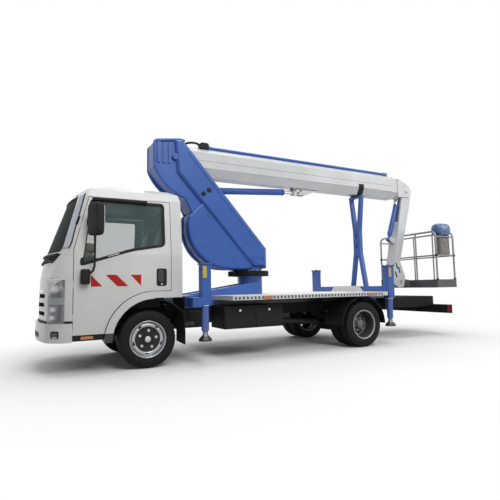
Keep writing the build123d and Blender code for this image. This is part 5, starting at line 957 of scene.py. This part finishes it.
def edge_roll(side):
    """The rolled edge of head and throat: a tube carried along the plate's edge, a little inside it."""
    throat = bezier(((-0.221, 2.69), (-0.33, 2.39), (-0.693, 2.246)), 24)
    head = rounded([(-0.9, 3.0), (-0.635, 3.136), (-0.25, 3.075), (-0.221, 3.04), (-0.221, 2.6)], 0.05, 8)[8:32]
    path = np.concatenate([head, throat, [(-0.735, 2.15), (-0.783, 2.045)]])
    along = unit(np.gradient(path, axis=0))
    path = path + np.stack([along[:, 1], -along[:, 0]], 1) * 0.012
    return tube([(at(x), side * ARM_PLATE, z) for x, z in path], 0.0235, 20)


def spine_bead(side):
    """A thin bead along the spine's back edge, 60 mm inside it."""
    lower, upper = np.array((-1.985, 1.56)), np.array((-0.64, 3.1))
    along = unit(upper - lower)
    inward = np.array((along[1], -along[0])) * 0.06
    line = np.linspace(lower + inward + along * 0.12, upper + inward - along * 0.18, 24)
    return tube([(at(x), side * SPINE_FACE, z) for x, z in line], 0.007, 8)


hole_shade_cups, bolts, frames = [], [], []
for _, side in SIDES:
    # painted shade: black cups stand for the shade inside two holes in the spine
    for x, z in ((-0.945, 2.335), (-1.035, 2.395)):
        profile = [(side * (SPINE_FACE + step), radius) for step, radius in HOLE]
        hole_shade_cups.append(lathe(profile, (at(x), 0, z), 32))
    bolts += studs(((-1.038, 2.012), (-1.251, 1.734), (-1.433, 1.377), (-0.985, 1.56)), 0.19, side, 0.012, 0.014)
    bolts += studs(((-0.3, 2.6), (-0.45, 2.52)), ARM_PLATE, side, 0.01, 0.007)
    pocket, face = ahead(POCKET), flank(SPINE_FACE, side)
    frames.append(band(rounded(pocket, 0.03), rounded(grown(pocket, -0.02), 0.02), face, 0.009))
    frames.append(spine_bead(side))
piece("arm_hole_shade_cups", hole_shade_cups, "black_plastic", "turret")
piece("arm_bolts", bolts, "cast_metal", "turret", bevel=FINE_EDGE)
piece("arm_frames", frames, "blue_paint", "turret", smooth=40)
piece("arm_belly_covers", [belly_cover(side) for _, side in SIDES], "blue_paint", "turret", smooth=40)
piece("arm_spine_covers", [spine_cover(side) for _, side in SIDES], "blue_paint", "turret", bevel=0.006)
piece("arm_edge_rolls", [edge_roll(side) for _, side in SIDES], "blue_paint", "turret", smooth=60)


# Boom and jib

CLAMP = ((-1.075, 3.058), (-0.93, 3.058), (-0.93, 3.125), (-0.955, 3.15), (-1.06, 3.15), (-1.075, 3.135))
HOSE = ((-0.94, 0.095, 3.118), (-0.8, 0.1, 3.175), (-0.69, 0.105, 3.085), (-0.64, 0.105, 3.06))
BARREL = ((0.085, 0.03), (0.088, 0.044), (0.13, 0.047), (0.15, 0.049), (0.69, 0.049), (0.695, 0.053),
          (0.745, 0.053), (0.75, 0.03))
LUG = [(-0.025, 0.0185), (-0.025, 0.036), (0.025, 0.036), (0.025, 0.0185)]

fold_shade_lines, bolts, slot_shade_discs, caps = [], [], [], []
circle = np.arange(24) * TURN / 24
for _, side in SIDES:
    # painted shade: thin dark strips along the boom's two folds
    for z in (2.86, 2.748):
        fold_shade_lines.append(box((at(-4.88), side * 0.15, z), (at(-0.66), side * 0.1508, z + 0.004)))
    bolts += studs(((-2.69, 2.59), (-2.8, 2.59), (-2.745, 2.545)), 0.06, side, 0.017, 0.01)
    # painted shade: black discs just inside the jib's foot plates fill its three slots
    for x, z in ((-4.965, 1.31), (-5.03, 1.225), (-4.94, 1.14)):
        patch = np.stack([at(x) + 0.075 * np.cos(circle), z + 0.075 * np.sin(circle)], 1)
        slot_shade_discs.append(prism(patch, side * 0.086, side * 0.0882))
    caps += studs([(-5.32, 2.8)], 0.122, side, 0.045, 0.008, 32)
    caps += studs(((-5.245, 2.89), (-5.245, 2.725), (-5.23, 2.81)), 0.122, side, 0.012, 0.008)
piece("boom_fold_shade_lines", fold_shade_lines, "cast_metal", "boom_base")
piece("bracket_bolts", bolts, "cast_metal", "boom_base", bevel=FINE_EDGE)
piece("jib_foot_slot_shade", slot_shade_discs, "black_plastic", "jib")
piece("boom_head_caps", caps, "boom_paint", "boom_tip", bevel=FINE_EDGE)
shapes = [prism(rounded(ahead(CLAMP), 0.015, 5), 0.048, 0.142), tube(bezier(placed(HOSE), 30), 0.017, 14)]
piece("duct_fitting", shapes, "black_plastic", "boom_base", bevel=0.004, smooth=50)

foot, eye = np.array(placed(((-4.885, 0.0, 1.82982), (-5.19, 0.0, 2.68))))
line = unit(eye - foot)
shapes = [tube([foot + line * s for s, _ in BARREL], [r for _, r in BARREL], 40), lathe(LUG, foot, 40)]
shapes.append(tube([foot + line * s for s in (0.03, 0.06, 0.09)], 0.024, 24))
piece("jib_cylinder", shapes, "blue_paint", "jib_barrel", ["jib_barrel"], smooth=30)


# Basket

CASE_FACES = (0.539, 0.6687)
RAIL_CLAMP = [(1.03, 0.0175), (1.03, 0.026), (1.045, 0.026), (1.045, 0.0175)]


def cover_shape():
    """The coated cover over the control box, open below.

    Round it by angle and down it by turn: the plan is a rounded oblong, the section a soft barrel that is widest
    at half height and tucks in again below, and small folds deepen towards the hem.
    """
    u = np.arange(120)[None, :] * TURN / 120
    v = np.linspace(0, 1, 48)[:, None]
    turn = v * math.radians(148)
    fold = v**2 * (0.004 * np.sin(7 * u + 1.1) + 0.003 * np.sin(13 * u + 0.4) + 0.0015 * np.sin(29 * u))
    x = (0.178 * np.sin(turn) ** 0.45 + fold) * signed_power(np.cos(u), 0.55)
    y = (0.118 * np.sin(turn) ** 0.6 + fold) * signed_power(np.sin(u), 0.55)
    z = np.broadcast_to(1.972 + 0.124 * signed_power(np.cos(turn), 0.8), x.shape)
    return grid(np.stack([x + at(-5.64), y + 0.6, z], -1), close_v=True)


case = prism(oblong(at(-5.775), at(-5.515), 1.494, 2.062, 0.02), *CASE_FACES)
piece("control_case", case, "grey_plastic", "basket", ["control_box"], bevel=0.005)
cover = piece("control_cover", cover_shape(), "cover_cloth", "basket", ["control_hood"], thick=0.003, smooth=80)

panel = plate(oblong(at(-5.76), at(-5.53), 1.52, 1.72, 0.02), flank(-CASE_FACES[0], -1), 0.006)
piece("control_panel", panel, "grey_plastic", "basket", bevel=SMALL_EDGE)
spots = [(-5.735 + 0.045 * i, 1.56 + 0.05 * j) for i in range(5) for j in range(2)]
piece("control_buttons", studs(spots, 0.534, 1, 0.013, -0.01, 16), "black_plastic", "basket", bevel=0.002)
lid = ahead(((-5.762, 1.53), (-5.528, 1.53), (-5.528, 1.79), (-5.762, 1.79)))
frames = band(rounded(lid, 0.02), rounded(grown(lid, -0.02), 0.012), flank(CASE_FACES[1], 1), 0.003, 0.002)
piece("control_lid", frames, "grey_plastic", "basket")
latch = studs([(-5.645, 1.77)], CASE_FACES[1], 1, 0.014, 0.008, 16)
piece("control_latch", latch, "steel", "basket", bevel=0.002)

clamps = []
for x in (at(-5.367), at(-5.853)):
    for y in (-0.683, 0.683):
        clamps.append(lathe(RAIL_CLAMP, (x, y, 0.0), 24, "z"))
        clamps.append(soft_box((x, y, 1.48), (0.022, 0.022, 0.02), 5.0, 10, 20))
piece("basket_clamps", clamps, "black_plastic", "basket")


# Rear end: lamps, reflectors and blank plate on the underrun bar

on_bar, before_bar = crosswall(at(-5.39), -1), crosswall(at(-5.33), 1)
housings, reds, ambers, clears = [], [], [], []
for _, side in SIDES:
    housings.append(plate(oblong(side * 0.585, side * 0.885, 0.445, 0.555, 0.012, 5), on_bar, 0.014))
    for low, high, store in ((0.775, 0.875, ambers), (0.69, 0.77, reds), (0.597, 0.685, clears)):
        store.append(plate(oblong(side * low, side * high, 0.455, 0.545, 0.01, 5), on_bar, 0.024))
    reds.append(plate(oblong(side * 0.88, side * 0.924, 0.435, 0.565, 0.004, 4), before_bar, 0.004))
piece("rear_lamp_shells", housings, bevel=SMALL_EDGE)
piece("rear_lamps_red", reds, "red_lens", bevel=0.002)
piece("rear_lamps_amber", ambers, "amber_lens", bevel=0.002)
piece("rear_lamps_clear", clears, "lamp_bowl", bevel=0.002)
blank = plate(oblong(-0.26, 0.26, 0.445, 0.555, 0.012, 5), on_bar, 0.006)
piece("blank_plate", blank, "cab_paint", bevel=0.002)


# Boxes under the deck

BOX_FACE, BATTERY_FACE = 0.82, 0.59
lids, latches, boxes, vents = [], [], [], []
for _, side in SIDES:
    for front in (-1.02, -1.47):
        lids.append(plate(oblong(at(front - 0.41), at(front), 0.425, 0.675, 0.02, 5), flank(BOX_FACE, side), 0.006))
    latches += studs(((-1.225, 0.64), (-1.675, 0.64)), 0.826, side, 0.018, 0.01, 20)
    boxes.append(prism(oblong(at(-0.8), at(-0.5), 0.43, 0.64, 0.02, 5), side * 0.361, side * BATTERY_FACE))
    for z in 0.462 + 0.013 * np.arange(4):
        vents.append(box((at(-0.655), side * BATTERY_FACE, z), (at(-0.53), side * 0.594, z + 0.008)))
piece("box_lids", lids, bevel=SMALL_EDGE)
piece("box_latches", latches, "steel", bevel=0.002)
piece("battery_boxes", boxes, bevel=0.006)
piece("battery_vents", vents, "grey_plastic")


# Dashboard top and seats

binnacle = [soft_box((at(0.735), 0.0, 1.4), (0.135, 0.6, 0.085), 6.0)]
binnacle.append(soft_box((at(0.69), 0.43, 1.455), (0.1, 0.2, 0.06)))
piece("dash_top", binnacle, "trim_beige", smooth=60)


def cushion(centre, half, lean, channels):
    """A crowned pad: a super-ellipsoid whose front face is drawn in along sewn channels, then leaned back."""
    points, faces = soft_box((0, 0, 0), half, 4.5, 36, 72)
    x, y, z = points.T
    depth = sum(np.exp(-(((y - place) / 0.008) ** 2)) for place in channels)
    face = np.clip(x / half[0], 0, 1)
    x = x - 0.012 * depth * face
    x = x + 0.01 * face * np.cos(y / half[1] * 1.4) * np.cos(z / half[2] * 1.4)
    c, s = math.cos(math.radians(lean)), math.sin(math.radians(lean))
    return np.stack([x * c - z * s, y, x * s + z * c], 1) + np.asarray(centre), faces


SEAT_BASE = ((-0.24, 0.892), (0.28, 0.892), (0.26, 1.085), (-0.2, 1.085))
CHANNELS = (-0.13, 0.13)
bases = []
for name, side in SIDES:
    y = side * 0.43
    pads = [cushion((at(0.06), y, 1.165), (0.075, 0.228, 0.225), 86, CHANNELS)]
    pads.append(cushion((at(-0.25), y, 1.485), (0.062, 0.222, 0.285), 10.5, CHANNELS))
    pad = piece(f"seat_{name}", pads, "seat_cloth", stands_for=["seats"] if side == 1 else [], smooth=70)
    head = cushion((at(-0.305), y, 1.765), (0.04, 0.125, 0.062), 10.5, ())
    piece(f"headrest_{name}", head, "seat_cloth", smooth=70)
    bases.append(prism(rounded(ahead(SEAT_BASE), 0.02, 5), y - 0.2, y + 0.2))
piece("seat_bases", bases, bevel=0.006)


# Camera, light and stage

LAMPS = (
    ("key", (1.0, 8.5, 8.0), (0.0, 0, 1.0), 5.0, 520),
    ("top", (0.0, 0.5, 22.0), (0, 0, 1.0), 18.0, 1900),
    ("fill", (-7.5, 5.5, 5.0), (-0.5, 0, 1.2), 5.0, 130),
    ("back", (-2.0, -8.0, 6.5), (0, 0, 1.2), 6.0, 170),
    ("nose", (9.0, -1.0, 4.0), (2.5, 0, 1.2), 4.0, 4),
)
SKY_LIGHT = 0.32
FLOOR_REACH = 40.0


def photo_camera():
    """The photograph's camera: its fitted yaw, pitch and roll, and its place."""
    turns = ((180 - 27.587, "Z"), (90 + 5.1495, "X"), (-1.042, "Z"))
    yaw, pitch, roll = (Matrix.Rotation(math.radians(angle), 4, axis) for angle, axis in turns)
    data = bpy.data.cameras.new("photo_camera")
    data.sensor_width, data.lens = 36.0, 29.587
    camera = show("photo_camera", data)
    camera.matrix_world = Matrix.Translation((at(1.2234), 5.8312, 0.951)) @ yaw @ pitch @ roll
    bpy.context.scene.camera = camera


def studio():
    """Soft lamps all round, a white sky that lights less than it shows, and a pale floor that fades into it."""
    for name, place, aim, size, power in LAMPS:
        lamp = bpy.data.lights.new(name, "AREA")
        lamp.shape, lamp.size, lamp.energy = "DISK", size, power
        obj = show(name, lamp)
        obj.location = place
        obj.rotation_euler = (Vector(aim) - Vector(place)).to_track_quat("-Z", "Y").to_euler()

    world = bpy.data.worlds.new("studio")
    bpy.context.scene.world = world
    sky = Tree(world)
    strength = SKY_LIGHT + sky.seen() * (1.0 - SKY_LIGHT)
    sky.feed(sky.tree.nodes["Background"], {"Color": (1, 1, 1, 1), "Strength": strength})

    mesh = bpy.data.meshes.new("floor")
    corners = [(a * FLOOR_REACH, b * FLOOR_REACH, 0) for a, b in ((-1, -1), (1, -1), (1, 1), (-1, 1))]
    mesh.from_pydata(corners, [], [(0, 1, 2, 3)])
    floor = show("floor", mesh)
    pale = Finish("floor_pale", Roughness=0.9)
    spot = pale.place((0.2, 0.28, 1.0))
    seen = pale.seen()
    shown = pale.mix(pale.noise(spot, 3.0, 2.0) * 0.2, (0.86, 0.86, 0.86), (0.83, 0.83, 0.83))
    pale.set(Base_Color=pale.mix(seen, (0.25, 0.25, 0.25), shown))
    far = pale.node("ShaderNodeVectorMath", {"operation": "LENGTH"}, {0: spot}, 1).step(0.55, 1.15)
    white = pale.node("ShaderNodeEmission", {}, {"Color": (1, 1, 1, 1), "Strength": 1.0})
    lit = Val(pale, pale.shader.outputs[0])
    blend = pale.node("ShaderNodeMixShader", {}, {0: far * seen, 1: lit, 2: white})
    pale.feed(pale.tree.nodes["Material Output"], {"Surface": blend})
    mesh.materials.append(pale.material)
    bpy.context.scene.view_settings.view_transform = "Standard"


photo_camera()
studio()
